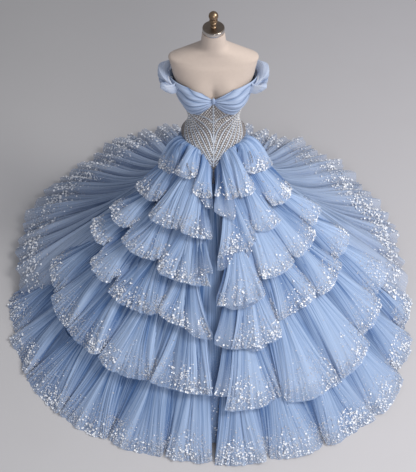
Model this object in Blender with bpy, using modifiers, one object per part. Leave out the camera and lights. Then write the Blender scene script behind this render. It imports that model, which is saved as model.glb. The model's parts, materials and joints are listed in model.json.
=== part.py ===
"""Tiered A-line evening gown on a limbless dress form, for Blender 4.5.

Units are metres and +Z is up. The origin is the middle of the stand's underside, on the floor.
The wearer's front faces -Y. An angle round the figure is in degrees from the front, and a
positive angle lies at +X. Every cloth piece is a thin wall: an open surface with Solidify.
"""

import math

import bmesh
import bpy
from mathutils import Vector

# ---------------------------------------------------------------- driving sizes
CLOTH_WALL = 0.002          # layered tulle, as one wall
CORSET_WALL = 0.0025
SEAM_GAP = 0.0003
FORM_CLEARANCE = 0.0040     # corset off the dress form
DRAPE_CLEARANCE = 0.0088    # bust drape off the dress form, over the corset

NECK_TOP_Z = 1.538
FORM_BOTTOM_Z = 0.740
FORM_COLUMNS = 32
FORM_ROW_HEIGHT = 0.024
CAP_RADIUS = 0.0475
CAP_TOP_Z = 1.561
FINIAL_TOP_Z = 1.638
POLE_RADIUS = 0.016
BASE_RADIUS = 0.200
BASE_TOP_Z = 0.016

SIDE_SEAM = 76.5            # degrees from the front: tiers and underskirt end here, the train starts
GORE_GAP_WAIST = 0.0004     # between the train's gores
GORE_GAP_HEM = 0.0030       # where their folds lean towards each other
BACK_BLEND_END = 112.0      # the train has its full bell shape from this angle on
FLOOR_CLEARANCE = 0.0006

# Dress form sections: height, half width, depth to the front, depth to the back.
FORM_SECTIONS = [
    (0.740, 0.158, 0.122, 0.132),
    (0.800, 0.170, 0.134, 0.142),
    (0.860, 0.168, 0.138, 0.140),
    (0.920, 0.157, 0.131, 0.126),
    (0.960, 0.143, 0.120, 0.110),
    (1.000, 0.121, 0.104, 0.092),
    (1.044, 0.108, 0.092, 0.081),
    (1.090, 0.113, 0.095, 0.083),
    (1.140, 0.125, 0.103, 0.088),
    (1.190, 0.138, 0.113, 0.092),
    (1.240, 0.150, 0.121, 0.096),
    (1.290, 0.169, 0.114, 0.097),
    (1.340, 0.186, 0.098, 0.094),
    (1.385, 0.192, 0.080, 0.082),
    (1.405, 0.190, 0.068, 0.066),
    (1.425, 0.163, 0.060, 0.056),
    (1.440, 0.130, 0.055, 0.052),
    (1.453, 0.096, 0.053, 0.051),
    (1.464, 0.068, 0.052, 0.051),
    (1.478, 0.0555, 0.0505, 0.0505),
    (1.505, 0.0515, 0.0495, 0.0500),
    (NECK_TOP_Z, 0.0475, 0.0475, 0.0475),
]
SECTION_SQUARENESS = 2.25   # superellipse exponent of the figure

BUST_ANGLE = 35.0           # each cup's middle, from the front
BUST_SPREAD = 20.0
BUST_HEIGHT = 1.245
BUST_REACH = 0.060
BUST_DEPTH = 0.023

# Lower edge of the corset, a long front point: angle from the front, height.
BASQUE_EDGE = [
    (0.0, 0.832),
    (5.0, 0.868),
    (11.0, 0.905),
    (21.0, 0.943),
    (36.0, 0.960),
    (60.0, 0.964),
    (90.0, 0.955),
    (180.0, 0.950),
]
# Bust drape, a sweetheart band: angle from the front, top height, bottom height, puff.
DRAPE_EDGES = [
    (4.0, 1.272, 1.241, 0.002),
    (14.0, 1.288, 1.212, 0.006),
    (26.0, 1.304, 1.178, 0.008),
    (42.0, 1.314, 1.154, 0.011),
    (62.0, 1.319, 1.160, 0.012),
    (92.0, 1.316, 1.178, 0.010),
    (130.0, 1.300, 1.182, 0.004),
    (180.0, 1.290, 1.184, 0.003),
]
CORSET_UNDER_DRAPE = 0.022  # how far the corset runs up beneath the drape
KNOT_HEIGHT = 1.264

# Skirt foundation, from below the waist stay to the floor (share 1).
# share, radius in front, height in front, radius behind, height behind
SKIRT_PROFILE = [
    (0.14, 0.256, 0.728, 0.205, 0.790),
    (0.32, 0.434, 0.579, 0.290, 0.580),
    (0.52, 0.630, 0.415, 0.425, 0.370),
    (0.72, 0.824, 0.252, 0.610, 0.215),
    (0.88, 0.978, 0.123, 0.830, 0.105),
    (1.00, 1.095, 0.024, 1.000, 0.004),
]
STAY_SHARE = 0.03           # a narrow upright band below the waist seam
STAY_HEIGHT = 0.004
SLIT_RIDGE = 0.035          # the underskirt comes forward between the two halves of the tiers
UNDERSKIRT_COLUMNS = 36
UNDERSKIRT_ROWS = (0.0, STAY_SHARE, 0.14, 1.0)

# Front tiers, each half a row of lobes. top_radius is on the foundation. hem_radius and hem_height are
# the hem's usual place. A lobe: the angle where it starts, how much lower its hem hangs there and where
# it ends, and the depth of the crease that it starts with. crease is the depth of a full crease at the
# hem, and end_crease its share at the side seam. lead is how far the edge at the slit starts from the
# middle, on the left and on the right.
TIERS = [
    dict(name="tier_1", top_radius=0.000, hem_radius=0.302, hem_height=0.802, crease=0.050,
         end_crease=0.1, lead=(0.03, 0.03),
         left=[(0.60, -0.008, -0.022, 0.0), (21.00, -0.080, -0.055, 1.0), (48.00, -0.050, -0.012, 0.7)],
         right=[(0.60, -0.016, 0.002, 0.0), (23.00, -0.004, 0.000, 0.7), (41.00, -0.075, -0.002, 1.0)]),
    dict(name="tier_2", top_radius=0.190, hem_radius=0.412, hem_height=0.700, crease=0.060,
         end_crease=0.3, lead=(0.12, 0.10),
         left=[(0.40, 0.022, 0.004, 0.0), (23.00, 0.004, 0.018, 0.4), (47.00, -0.050, 0.012, 1.0)],
         right=[(2.00, 0.088, 0.052, 0.0), (27.00, 0.022, 0.040, 1.0), (46.00, -0.030, 0.020, 0.9)]),
    dict(name="tier_3", top_radius=0.305, hem_radius=0.598, hem_height=0.552, crease=0.064,
         end_crease=0.9, lead=(0.12, 0.18),
         left=[(0.30, 0.008, -0.014, 0.0), (28.00, -0.046, -0.020, 1.0), (53.00, -0.072, -0.034, 1.0)],
         right=[(1.20, 0.074, 0.068, 0.0), (21.50, 0.010, 0.000, 1.0), (40.00, -0.006, -0.004, 0.6),
                (61.00, -0.025, -0.040, 0.8)]),
    dict(name="tier_4", top_radius=0.475, hem_radius=0.772, hem_height=0.406, crease=0.066,
         end_crease=0.9, lead=(0.17, 0.14),
         left=[(0.30, 0.003, -0.040, 0.0), (21.00, -0.032, -0.012, 0.9), (43.50, -0.054, -0.036, 1.0),
               (59.00, -0.110, -0.100, 1.0)],
         right=[(0.30, 0.060, 0.054, 0.0), (23.50, 0.008, -0.036, 1.0), (42.00, -0.004, -0.006, 0.9),
                (60.00, -0.022, -0.040, 0.8)]),
    dict(name="tier_5", top_radius=0.620, hem_radius=0.995, hem_height=0.214, crease=0.070,
         end_crease=0.9, lead=(0.06, 0.12),
         left=[(0.25, -0.002, -0.022, 0.0), (18.00, -0.016, -0.012, 0.9), (35.00, -0.034, -0.020, 1.0),
               (48.50, -0.020, -0.012, 0.8), (62.00, -0.026, -0.046, 0.9)],
         right=[(0.25, 0.048, 0.044, 0.0), (18.50, 0.054, 0.085, 0.9), (35.00, 0.075, 0.040, 0.8),
                (48.50, 0.024, 0.012, 0.9), (62.00, 0.000, -0.020, 0.8)]),
    dict(name="tier_6", top_radius=0.880, hem_radius=1.240, hem_height=0.004, crease=0.060,
         end_crease=0.9, lead=(0.02, 0.05),
         left=[(0.25, -0.028, -0.044, 0.0), (11.00, -0.046, -0.048, 0.6), (24.50, -0.044, -0.010, 0.9),
               (37.50, -0.008, 0.000, 0.8), (51.00, -0.004, 0.000, 0.9), (63.00, -0.006, 0.000, 0.8)],
         right=[(0.25, -0.004, -0.006, 0.0), (12.00, 0.000, 0.018, 0.7), (25.00, 0.022, 0.030, 0.9),
                (38.00, 0.024, 0.000, 0.8), (51.00, -0.014, -0.036, 0.9), (63.00, -0.042, -0.056, 0.8)]),
]
TIER_END = 76.0
FOLD_COLUMNS = 6            # wall columns in one flute
SIDE_SHRINK = 0.095         # the skirt comes in by this share towards the side seams
CREASE_LIFT = 0.022         # hems are higher in their creases
CREASE_SHARPNESS = 1.5      # a broad flute and a narrow crease
FLUTE_WIDENING = 0.090      # how far a flute spreads over the crease beside it, per pitch
TOP_LAYER_CLEARANCE = 0.0011
FOUNDATION_COSINE = 0.766   # of the front foundation's slope
STEEP_COSINE = 0.46         # of its upper part's slope, just below the waist stay

TRAIN_GORES = [("side", SIDE_SEAM, 128.0), ("back", 128.0, 180.0)]
GORE_FOLDS = 7
TRAIN_FOLD_COLUMNS = 4
TRAIN_FLUTE = 0.044
TRAIN_ROWS = (0.0, 0.03, 0.14, 0.42, 0.74, 1.0)
TRAIN_SIDE_REACH = 0.060
TRAIN_EVEN = {-1.0: 1.020, 1.0: 0.985}  # the two halves reach a little differently

SLEEVE_CLEARANCE = 0.0004
# Ends of the off-shoulder band: angle and height of its top edge, angle and height of its bottom edge.
SLEEVE_FRONT = (66.0, 1.320, 59.0, 1.279)
SLEEVE_BACK = (124.0, 1.286, 124.0, 1.244)
# Its section where it stands out most, from the top edge down: distance from the axis, height.
SLEEVE_SECTION = [
    (0.200, 1.328),
    (0.215, 1.337),
    (0.232, 1.338),
    (0.246, 1.329),
    (0.248, 1.311),
    (0.241, 1.291),
    (0.230, 1.273),
    (0.217, 1.260),
]
# How far it stands out round its loop, two puffs and a notch: share of the way along, share of the reach.
SLEEVE_REACH = [
    (0.00, 0.00),
    (0.03, 0.52),
    (0.08, 0.80),
    (0.14, 0.94),
    (0.19, 0.87),
    (0.235, 0.68),
    (0.29, 0.93),
    (0.38, 1.02),
    (0.50, 0.98),
    (0.65, 0.74),
    (0.80, 0.36),
    (1.00, 0.00),
]
SLEEVE_NOTCH = 0.235

COLOURS = {
    "tulle": ((0.33, 0.47, 0.72), 0.75, 0.0),
    "underskirt": ((0.20, 0.32, 0.55), 0.80, 0.0),
    "chiffon": ((0.36, 0.50, 0.76), 0.65, 0.0),
    "beaded_corset": ((0.52, 0.50, 0.50), 0.40, 0.2),
    "linen_form": ((0.69, 0.61, 0.54), 0.90, 0.0),
    "chrome": ((0.75, 0.75, 0.76), 0.15, 1.0),
    "bronze": ((0.25, 0.20, 0.16), 0.30, 1.0),
    "brass": ((0.52, 0.38, 0.22), 0.28, 1.0),
    "stand_metal": ((0.10, 0.10, 0.10), 0.45, 0.9),
}


# ---------------------------------------------------------------- small tools
def clear_scene():
    for thing in list(bpy.data.objects):
        bpy.data.objects.remove(thing)


def finish_material(name):
    colour, roughness, metallic = COLOURS[name]
    made = bpy.data.materials.get(name)
    if made is None:
        made = bpy.data.materials.new(name)
        made.use_nodes = True
        shader = made.node_tree.nodes["Principled BSDF"]
        shader.inputs["Base Color"].default_value = (*colour, 1.0)
        shader.inputs["Roughness"].default_value = roughness
        shader.inputs["Metallic"].default_value = metallic
    return made


def link_mesh(name, mesh, material):
    thing = bpy.data.objects.new(name, mesh)
    gown.objects.link(thing)
    mesh.materials.append(finish_material(material))
    return thing


def on_circle(angle, radius, height):
    """A point at that angle from the front, in degrees, round the figure's axis."""
    turn = math.radians(angle)
    return Vector((radius * math.sin(turn), -radius * math.cos(turn), height))


def mirrored_angle(angle):
    """The angle away from the front, whichever side it is."""
    return abs((angle + 180.0) % 360.0 - 180.0)


def read_table(rows, at, column):
    """One column of a table, straight between its rows."""
    if at <= rows[0][0]:
        return rows[0][column]
    for low, high in zip(rows, rows[1:]):
        if at <= high[0]:
            share = (at - low[0]) / (high[0] - low[0])
            return low[column] + share * (high[column] - low[column])
    return rows[-1][column]


def ease(value, start, end):
    share = min(1.0, max(0.0, (value - start) / (end - start)))
    return share * share * (3.0 - 2.0 * share)


def uneven(count, salt):
    """A steady, uneven value from -1 to 1 for fold number count."""
    wave = math.sin(count * 12.9898 + salt * 78.233) * 43758.5453
    return 2.0 * (wave - math.floor(wave)) - 1.0


def cloth_wall(name, columns, rows, place, thickness, material):
    """A wall of cloth. place(across, down), both 0 to 1, gives its inner face; it thickens outwards.
    across runs with growing angle and down runs from the top edge to the hem."""
    mesh = bpy.data.meshes.new(name)
    grid = bmesh.new()
    bmesh.ops.create_grid(grid, x_segments=columns, y_segments=rows, size=0.5)
    for vertex in grid.verts:
        vertex.co = place(vertex.co.x + 0.5, 0.5 - vertex.co.y)
    grid.to_mesh(mesh)
    grid.free()
    wall = link_mesh(name, mesh, material)
    solidify = wall.modifiers.new("wall", "SOLIDIFY")
    solidify.thickness = thickness
    solidify.offset = 1.0
    return wall


def turned(name, profile, steps, material):
    """A turned piece: the profile's (radius, height) points run down its outer side."""
    mesh = bpy.data.meshes.new(name)
    outline = bmesh.new()
    points = [outline.verts.new((radius, 0.0, height)) for radius, height in profile]
    for first, second in zip(points, points[1:]):
        outline.edges.new((first, second))
    outline.to_mesh(mesh)
    outline.free()
    piece = link_mesh(name, mesh, material)
    screw = piece.modifiers.new("turn", "SCREW")
    screw.steps = steps
    screw.render_steps = steps
    screw.use_merge_vertices = True
    screw.merge_threshold = 0.0001
    screw.use_smooth_shade = True
    return piece


# ---------------------------------------------------------------- the figure
def section_size(height, column):
    """A column of FORM_SECTIONS at any height, as a smooth line through its rows."""
    last = len(FORM_SECTIONS) - 1
    at = next((n for n in range(last) if height <= FORM_SECTIONS[n + 1][0]), last - 1)
    rows = [FORM_SECTIONS[min(last, max(0, at + step))] for step in (-1, 0, 1, 2)]
    (h0, h1, h2, h3), (v0, v1, v2, v3) = ([row[c] for row in rows] for c in (0, column))
    part = min(1.0, max(0.0, (height - h1) / (h2 - h1)))
    slope_low = (v2 - v0) / (h2 - h0) * (h2 - h1)
    slope_high = (v3 - v1) / (h3 - h1) * (h2 - h1)
    square, cube = part ** 2, part ** 3
    return ((2.0 * cube - 3.0 * square + 1.0) * v1 + (cube - 2.0 * square + part) * slope_low
            + (3.0 * square - 2.0 * cube) * v2 + (cube - square) * slope_high)


def form_radius(angle, height):
    """Distance of the dress form's surface from its axis."""
    turn = math.radians(angle)
    half_width = section_size(height, 1)
    depth = section_size(height, 2 if math.cos(turn) >= 0.0 else 3)
    across = abs(math.sin(turn) / half_width) ** SECTION_SQUARENESS
    along = abs(math.cos(turn) / depth) ** SECTION_SQUARENESS
    radius = (across + along) ** (-1.0 / SECTION_SQUARENESS)
    from_cup = (mirrored_angle(angle) - BUST_ANGLE) / BUST_SPREAD
    from_height = (height - BUST_HEIGHT) / BUST_REACH
    return radius + BUST_DEPTH * math.exp(-from_cup ** 2 - from_height ** 2)


def on_form(angle, height, off):
    return on_circle(angle, form_radius(angle, height) + off, height)


def form_heights():
    """Rows of the figure: even steps up to the shoulder, then every section with one between."""
    heights = [FORM_BOTTOM_Z]
    for low, high in zip(FORM_SECTIONS, FORM_SECTIONS[1:]):
        steps = max(1, round((high[0] - low[0]) / FORM_ROW_HEIGHT))
        if high[0] > 1.40:
            steps = 2
        heights += [low[0] + (high[0] - low[0]) * (n + 1) / steps for n in range(steps)]
    return heights


def build_form():
    heights = form_heights()
    rows = len(heights) - 1
    mesh = bpy.data.meshes.new("form_torso")
    body = bmesh.new()
    bmesh.ops.create_grid(body, x_segments=FORM_COLUMNS, y_segments=rows, size=0.5)
    for vertex in body.verts:
        angle = 360.0 * (vertex.co.x + 0.5)
        vertex.co = on_form(angle, heights[round((vertex.co.y + 0.5) * rows)], 0.0)
    bmesh.ops.remove_doubles(body, verts=body.verts, dist=0.00001)
    ends = [edge for edge in body.edges if edge.is_boundary]
    bmesh.ops.holes_fill(body, edges=ends, sides=0)
    bmesh.ops.recalc_face_normals(body, faces=body.faces)
    body.to_mesh(mesh)
    body.free()
    mesh.shade_smooth()
    mesh.set_sharp_from_angle(angle=math.radians(50.0))
    link_mesh("form_torso", mesh, "linen_form")

    band_bottom = NECK_TOP_Z + SEAM_GAP
    plate_bottom = CAP_TOP_Z - 0.0035
    turned("neck_band", [
        (0.0, plate_bottom - SEAM_GAP), (CAP_RADIUS - 0.001, plate_bottom - SEAM_GAP),
        (CAP_RADIUS, plate_bottom - 0.0013), (CAP_RADIUS, band_bottom + 0.001),
        (CAP_RADIUS - 0.001, band_bottom), (0.0, band_bottom)], 32, "chrome")
    turned("neck_plate", [
        (0.0, CAP_TOP_Z), (CAP_RADIUS - 0.0035, CAP_TOP_Z),
        (CAP_RADIUS - 0.002, CAP_TOP_Z - 0.001), (CAP_RADIUS - 0.002, plate_bottom),
        (0.0, plate_bottom)], 32, "bronze")
    build_finial()
    build_stand()


def build_finial():
    """Big ball, collar, small ball and foot, each ball an arc."""
    foot = CAP_TOP_Z + SEAM_GAP
    ball_radius = 0.0205
    ball_middle = FINIAL_TOP_Z - ball_radius
    profile = [(0.0, FINIAL_TOP_Z)]
    for step in range(1, 8):
        turn = math.radians(20.0 * step)
        profile.append((ball_radius * math.sin(turn), ball_middle + ball_radius * math.cos(turn)))
    profile += [(0.0175, foot + 0.0345), (0.0178, foot + 0.0315), (0.0105, foot + 0.0275)]
    small_radius = 0.0140
    small_middle = foot + 0.0175
    for step in range(2, 8):
        turn = math.radians(20.0 * step)
        profile.append((small_radius * math.sin(turn), small_middle + 0.75 * small_radius * math.cos(turn)))
    profile += [(0.0095, foot + 0.0060), (0.0135, foot + 0.0022), (0.0135, foot), (0.0, foot)]
    turned("finial", profile, 24, "brass")


def build_stand():
    turned("stand_base", [
        (0.0, BASE_TOP_Z), (0.035, BASE_TOP_Z), (BASE_RADIUS - 0.012, 0.011),
        (BASE_RADIUS, 0.007), (BASE_RADIUS, 0.0), (0.0, 0.0)], 40, "stand_metal")
    top = FORM_BOTTOM_Z - SEAM_GAP
    bottom = BASE_TOP_Z + SEAM_GAP
    turned("pole", [(0.0, top), (POLE_RADIUS, top), (POLE_RADIUS, bottom), (0.0, bottom)],
           20, "stand_metal")


# ---------------------------------------------------------------- the bodice
def seam_height(angle):
    return read_table(BASQUE_EDGE, mirrored_angle(angle), 1)


def drape_edge(angle, column):
    return read_table(DRAPE_EDGES, mirrored_angle(angle), column)


def corset_panel(name, start, end, columns, rows):
    def place(across, down):
        angle = start + across * (end - start)
        top = drape_edge(angle, 2) + CORSET_UNDER_DRAPE
        height = top + down * (seam_height(angle) - top)
        return on_form(angle, height, FORM_CLEARANCE)
    cloth_wall(name, columns, rows, place, CORSET_WALL, "beaded_corset")


def drape_radius(angle, height):
    """The drape's inner face, which puffs between its two edges."""
    top, bottom, puff = (drape_edge(angle, column) for column in (1, 2, 3))
    down = min(1.0, max(0.0, (top - height) / (top - bottom)))
    return form_radius(angle, height) + DRAPE_CLEARANCE + puff * max(0.0, math.sin(math.pi * down)) ** 0.7


def drape_panel(name, start, end, columns, rows):
    def place(across, down):
        angle = start + across * (end - start)
        top = drape_edge(angle, 1)
        height = top + down * (drape_edge(angle, 2) - top)
        return on_circle(angle, drape_radius(angle, height), height)
    cloth_wall(name, columns, rows, place, CLOTH_WALL, "chiffon")


def build_bodice():
    step = 360.0 / FORM_COLUMNS
    gap = 0.15
    corset_panel("corset_front", -90.0, 90.0, round(180.0 / step), 13)
    corset_panel("corset_back_right", 90.0 + gap, 180.0 - gap, round(90.0 / step), 8)
    corset_panel("corset_back_left", 180.0 + gap, 270.0 - gap, round(90.0 / step), 8)
    drape_panel("bust_drape_right", 4.0, 93.0, 9, 4)
    drape_panel("bust_drape_left", -93.0, -4.0, 9, 4)
    drape_panel("back_drape", 93.0 + gap, 267.0 - gap, 14, 3)
    build_knot()
    for name, side in (("sleeve_right", 1.0), ("sleeve_left", -1.0)):
        build_sleeve(name, side)


def build_knot():
    """The gathered loop between the two cups, a soft block rounded all over."""
    knot_depth = 0.0130
    knot_length = 0.0340
    inside = form_radius(0.0, KNOT_HEIGHT - knot_length / 2.0) + FORM_CLEARANCE + CORSET_WALL
    middle = inside + 0.0005 + knot_depth / 2.0
    bpy.ops.mesh.primitive_cube_add(size=1.0)
    knot = bpy.context.active_object
    knot.name = knot.data.name = "bust_knot"
    for vertex in knot.data.vertices:
        vertex.co.x *= 0.0168
        vertex.co.y *= knot_depth
        vertex.co.z *= knot_length
    knot.location = (0.0, -middle, KNOT_HEIGHT)
    rounding = knot.modifiers.new("rounding", "BEVEL")
    rounding.width = 0.0045
    rounding.segments = 2
    for holder in list(knot.users_collection):
        holder.objects.unlink(knot)
    gown.objects.link(knot)
    knot.data.materials.append(finish_material("chiffon"))


def build_sleeve(name, side):
    """An off-the-shoulder band that hangs in an open loop, in two puffs with a notch between them."""
    rows = len(SLEEVE_SECTION) - 1
    columns = len(SLEEVE_REACH) - 1

    def place(across, down):
        stop = round((across if side > 0.0 else 1.0 - across) * columns)
        along = SLEEVE_REACH[stop][0]
        front = [SLEEVE_FRONT[n] + down * (SLEEVE_FRONT[n + 2] - SLEEVE_FRONT[n]) for n in (0, 1)]
        back = [SLEEVE_BACK[n] + down * (SLEEVE_BACK[n + 2] - SLEEVE_BACK[n]) for n in (0, 1)]
        angle, end_height = (near + along * (far - near) for near, far in zip(front, back))
        middle_radius, middle_height = SLEEVE_SECTION[round(down * rows)]
        height = end_height + (middle_height - end_height) * abs(math.sin(math.pi * along)) ** 0.7
        at_loop = along + (1.0 - ease(down, 0.0, 0.5)) * SLEEVE_NOTCH * (1.0 - along)
        notch = math.exp(-((at_loop - SLEEVE_NOTCH) / 0.045) ** 2) * ease(along, 0.0, 0.04)
        height -= 0.016 * notch * (1.0 - 0.5 * down)
        end_radius = drape_radius(angle, height) + CLOTH_WALL + SLEEVE_CLEARANCE
        reach = read_table(SLEEVE_REACH, at_loop, 1) * ease(along, 0.0, 0.05) * (1.0 - 0.12 * notch)
        return on_circle(side * angle, end_radius + (middle_radius - end_radius) * reach, height)
    cloth_wall(name, columns, rows, place, CLOTH_WALL, "chiffon")


# ---------------------------------------------------------------- the skirt
def seam_point(angle, off):
    """(radius, height) of the waist seam, straight between the figure's columns."""
    step = 360.0 / FORM_COLUMNS
    away = mirrored_angle(angle)
    low = step * int(away / step + 1e-6)
    part = (away - low) / step
    ends = [on_form(edge, seam_height(edge), off) for edge in (low, low + step)]
    middle = ends[0].lerp(ends[1], part)
    return math.hypot(middle.x, middle.y), middle.z


def drawn_in(radius, angle):
    """Every radius comes in a little towards the side seams, the larger ones more."""
    share = ease(mirrored_angle(angle), 38.0, SIDE_SEAM) * min(1.0, radius / 1.1)
    return radius * (1.0 - SIDE_SHRINK * share)


def skirt_profile(angle, share):
    """The foundation's inner face at that share of the way from the seam to the floor."""
    behind = ease(mirrored_angle(angle), SIDE_SEAM, BACK_BLEND_END)
    radius, height = seam_point(angle, FORM_CLEARANCE)
    height -= SEAM_GAP
    if share <= STAY_SHARE:
        return radius, height - STAY_HEIGHT * share / STAY_SHARE
    stay = (STAY_SHARE, radius, height - STAY_HEIGHT, radius, height - STAY_HEIGHT)
    rows = [stay] + SKIRT_PROFILE
    front_radius, front_height, back_radius, back_height = (read_table(rows, share, c) for c in (1, 2, 3, 4))
    radius = drawn_in(front_radius, angle) * (1.0 - behind) + back_radius * behind
    return radius, front_height + behind * (back_height - front_height)


def slit_ridge(angle, share):
    """The soft fold of the underskirt at centre front, one wall column wide on each side."""
    column = 2.0 * SIDE_SEAM / UNDERSKIRT_COLUMNS
    first = SKIRT_PROFILE[0][0]
    down = max(0.0, (share - first) / (1.0 - first))
    return SLIT_RIDGE * down * max(0.0, 1.0 - mirrored_angle(angle) / column)


def foundation_column(angle, share):
    """The underskirt's inner face at one of its own wall columns."""
    radius, height = skirt_profile(angle, share)
    return on_circle(angle, radius + slit_ridge(angle, share), height)


def foundation_height(angle, radius):
    """Height of the underskirt's flat facets at an angle and a radius outside the waist stay."""
    step = 2.0 * SIDE_SEAM / UNDERSKIRT_COLUMNS
    low = step * min(int(angle / step), UNDERSKIRT_COLUMNS // 2 - 1)
    rows = []
    for share in UNDERSKIRT_ROWS[1:]:
        ends = [foundation_column(edge, share) for edge in (low, low + step)]
        middle = ends[0].lerp(ends[1], (angle - low) / step)
        rows.append((math.hypot(middle.x, middle.y), middle.z))
    return read_table(rows, radius, 1)


def tier_lobes(tier, side):
    return tier["right"] if side > 0.0 else tier["left"]


def lobe_at(lobes, across):
    """For a place across a tier: its angle, its place 0 to 1 in its lobe, the pitch and the number."""
    starts = [lobe[0] for lobe in lobes] + [TIER_END]
    whole = across * len(lobes)
    number = min(int(whole + 1e-9), len(lobes) - 1)
    part = whole - number
    pitch = starts[number + 1] - starts[number]
    return starts[number] + part * pitch, part, pitch, number


def hem_drop(lobes, number, part):
    """How much lower the hem hangs. In a crease it is half way from one lobe to the next."""
    first, last = lobes[number][1:3]
    if part < 0.01 and number > 0:
        return 0.5 * (lobes[number - 1][2] + first)
    if part > 0.99 and number + 1 < len(lobes):
        return 0.5 * (last + lobes[number + 1][1])
    return first + part * (last - first)


def tier_point(tier, side, across, down):
    """A point of a tier's inner face: a gathered band that falls from the foundation in deep lobes."""
    lobes = tier_lobes(tier, side)
    salt = TIERS.index(tier) * 2 + (side > 0.0)
    angle, part, pitch, number = lobe_at(lobes, across)
    depths = [lobe[3] for lobe in lobes] + [tier["end_crease"]]
    deep = depths[number] if part < 0.5 else depths[number + 1]
    fold = deep * (1.0 - math.sin(math.pi * part)) ** CREASE_SHARPNESS
    flat_angle = angle
    spread = 0.4 if number + part < 0.5 else min(1.0, 1.2 * deep)
    angle -= FLUTE_WIDENING * pitch * math.sin(2.0 * math.pi * part) * down * spread
    lead = math.degrees(tier["lead"][side > 0.0] / (0.2 + tier["hem_radius"]))
    angle += lead * (1.0 - down) ** 0.9 * max(0.0, 1.0 - number - part) ** 1.5
    if tier is TIERS[0]:
        radius, height = seam_point(angle, FORM_CLEARANCE + CLOTH_WALL + TOP_LAYER_CLEARANCE)
        height -= 3.0 * SEAM_GAP
    else:
        radius = drawn_in(tier["top_radius"], angle)
        ridge = 1.0 + 0.5 * (1.0 - ease(angle, 4.0, 26.0))
        height = foundation_height(angle, radius)
        cosine = STEEP_COSINE if radius < SKIRT_PROFILE[0][1] else FOUNDATION_COSINE
        height += ridge * (CLOTH_WALL + TOP_LAYER_CLEARANCE) / cosine
    drop = hem_drop(lobes, number, part)
    hem_radius = drawn_in(tier["hem_radius"] + drop, flat_angle)
    hem_height = tier["hem_height"] - (0.84 * drop if tier is not TIERS[-1] else 0.0)
    size = 1.0 + 0.20 * uneven(number, salt)
    out = radius + (hem_radius - radius) * down ** 0.93 - tier["crease"] * size * fold * down ** 1.25
    up = height + (hem_height - height) * down ** 1.18 + CREASE_LIFT * down * down * fold
    return on_circle(side * angle, out, max(up, FLOOR_CLEARANCE))


def build_tiers():
    for tier in TIERS:
        for word, side in (("left", -1.0), ("right", 1.0)):
            def place(across, down, tier=tier, side=side):
                along = across if side > 0.0 else 1.0 - across
                return tier_point(tier, side, along, down)

            columns = FOLD_COLUMNS * len(tier_lobes(tier, side))
            cloth_wall(f"{tier['name']}_{word}", columns, 2, place, CLOTH_WALL, "tulle")


def train_point(side, gore, across, down):
    """The back skirt and its train: pleats from the waist seam, open flutes at the hem."""
    word, start, end = gore
    share = TRAIN_ROWS[round(down * (len(TRAIN_ROWS) - 1))]
    open_here = ease(share, 0.2, 1.0)
    gap = GORE_GAP_WAIST + (GORE_GAP_HEM - GORE_GAP_WAIST) * ease(share, STAY_SHARE, 0.3)
    inset = math.degrees(gap / 2.0 / skirt_profile(side * (start + end) / 2.0, share)[0])
    angle = start + inset + across * (end - start - 2.0 * inset)
    radius, height = skirt_profile(side * angle, share)
    whole = across * GORE_FOLDS
    number = int(whole + 1e-9)
    size = 1.0 + 0.3 * uneven(number, 5.0 + side + start)
    if word == "side":
        size *= ease(whole, 0.0, 1.0)
    lift = TRAIN_FLUTE * size * open_here * (0.5 - 0.5 * math.cos(2.0 * math.pi * whole))
    reach = TRAIN_SIDE_REACH * ease(angle, SIDE_SEAM, 88.0) * (1.0 - ease(angle, 96.0, 140.0))
    uneven_here = ease(angle, SIDE_SEAM, 90.0) * (1.0 - ease(angle, 150.0, 178.0))
    even = 1.0 + (TRAIN_EVEN[side] - 1.0) * open_here * uneven_here
    radius = (radius + 0.5 * lift + reach * open_here) * even
    return on_circle(side * angle, radius, max(height + lift, FLOOR_CLEARANCE))


def build_skirt():
    def front(across, down):
        angle = (2.0 * across - 1.0) * SIDE_SEAM
        return foundation_column(angle, UNDERSKIRT_ROWS[round(down * (len(UNDERSKIRT_ROWS) - 1))])
    rows = len(UNDERSKIRT_ROWS) - 1
    cloth_wall("underskirt_front", UNDERSKIRT_COLUMNS, rows, front, CLOTH_WALL, "underskirt")
    for word, side in (("left", -1.0), ("right", 1.0)):
        for gore in TRAIN_GORES:
            def place(across, down, side=side, gore=gore):
                along = across if side > 0.0 else 1.0 - across
                return train_point(side, gore, along, down)
            columns = GORE_FOLDS * TRAIN_FOLD_COLUMNS
            cloth_wall(f"train_{gore[0]}_{word}", columns, len(TRAIN_ROWS) - 1, place, CLOTH_WALL, "tulle")


clear_scene()
gown = bpy.data.collections.new("tiered_evening_gown")
bpy.context.scene.collection.children.link(gown)
build_form()
build_bodice()
build_skirt()
build_tiers()
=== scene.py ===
# %% [markdown]
# # A tiered ball gown on a dress form
# This lesson dresses the plain solids of a ball gown in cloth, beads and light. The gown is pale blue
# tulle: six gathered tiers on each side of a front slit, a pleated train behind, a beaded corset and a
# draped bust band with two off-shoulder bands. It rests on a limbless linen dress form.
# Every place is in metres. The origin is on the floor, +Z is up, and the wearer's front faces -Y. An
# angle round the figure is in degrees from the front, and a positive angle lies at +X.

import json
import math

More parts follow.
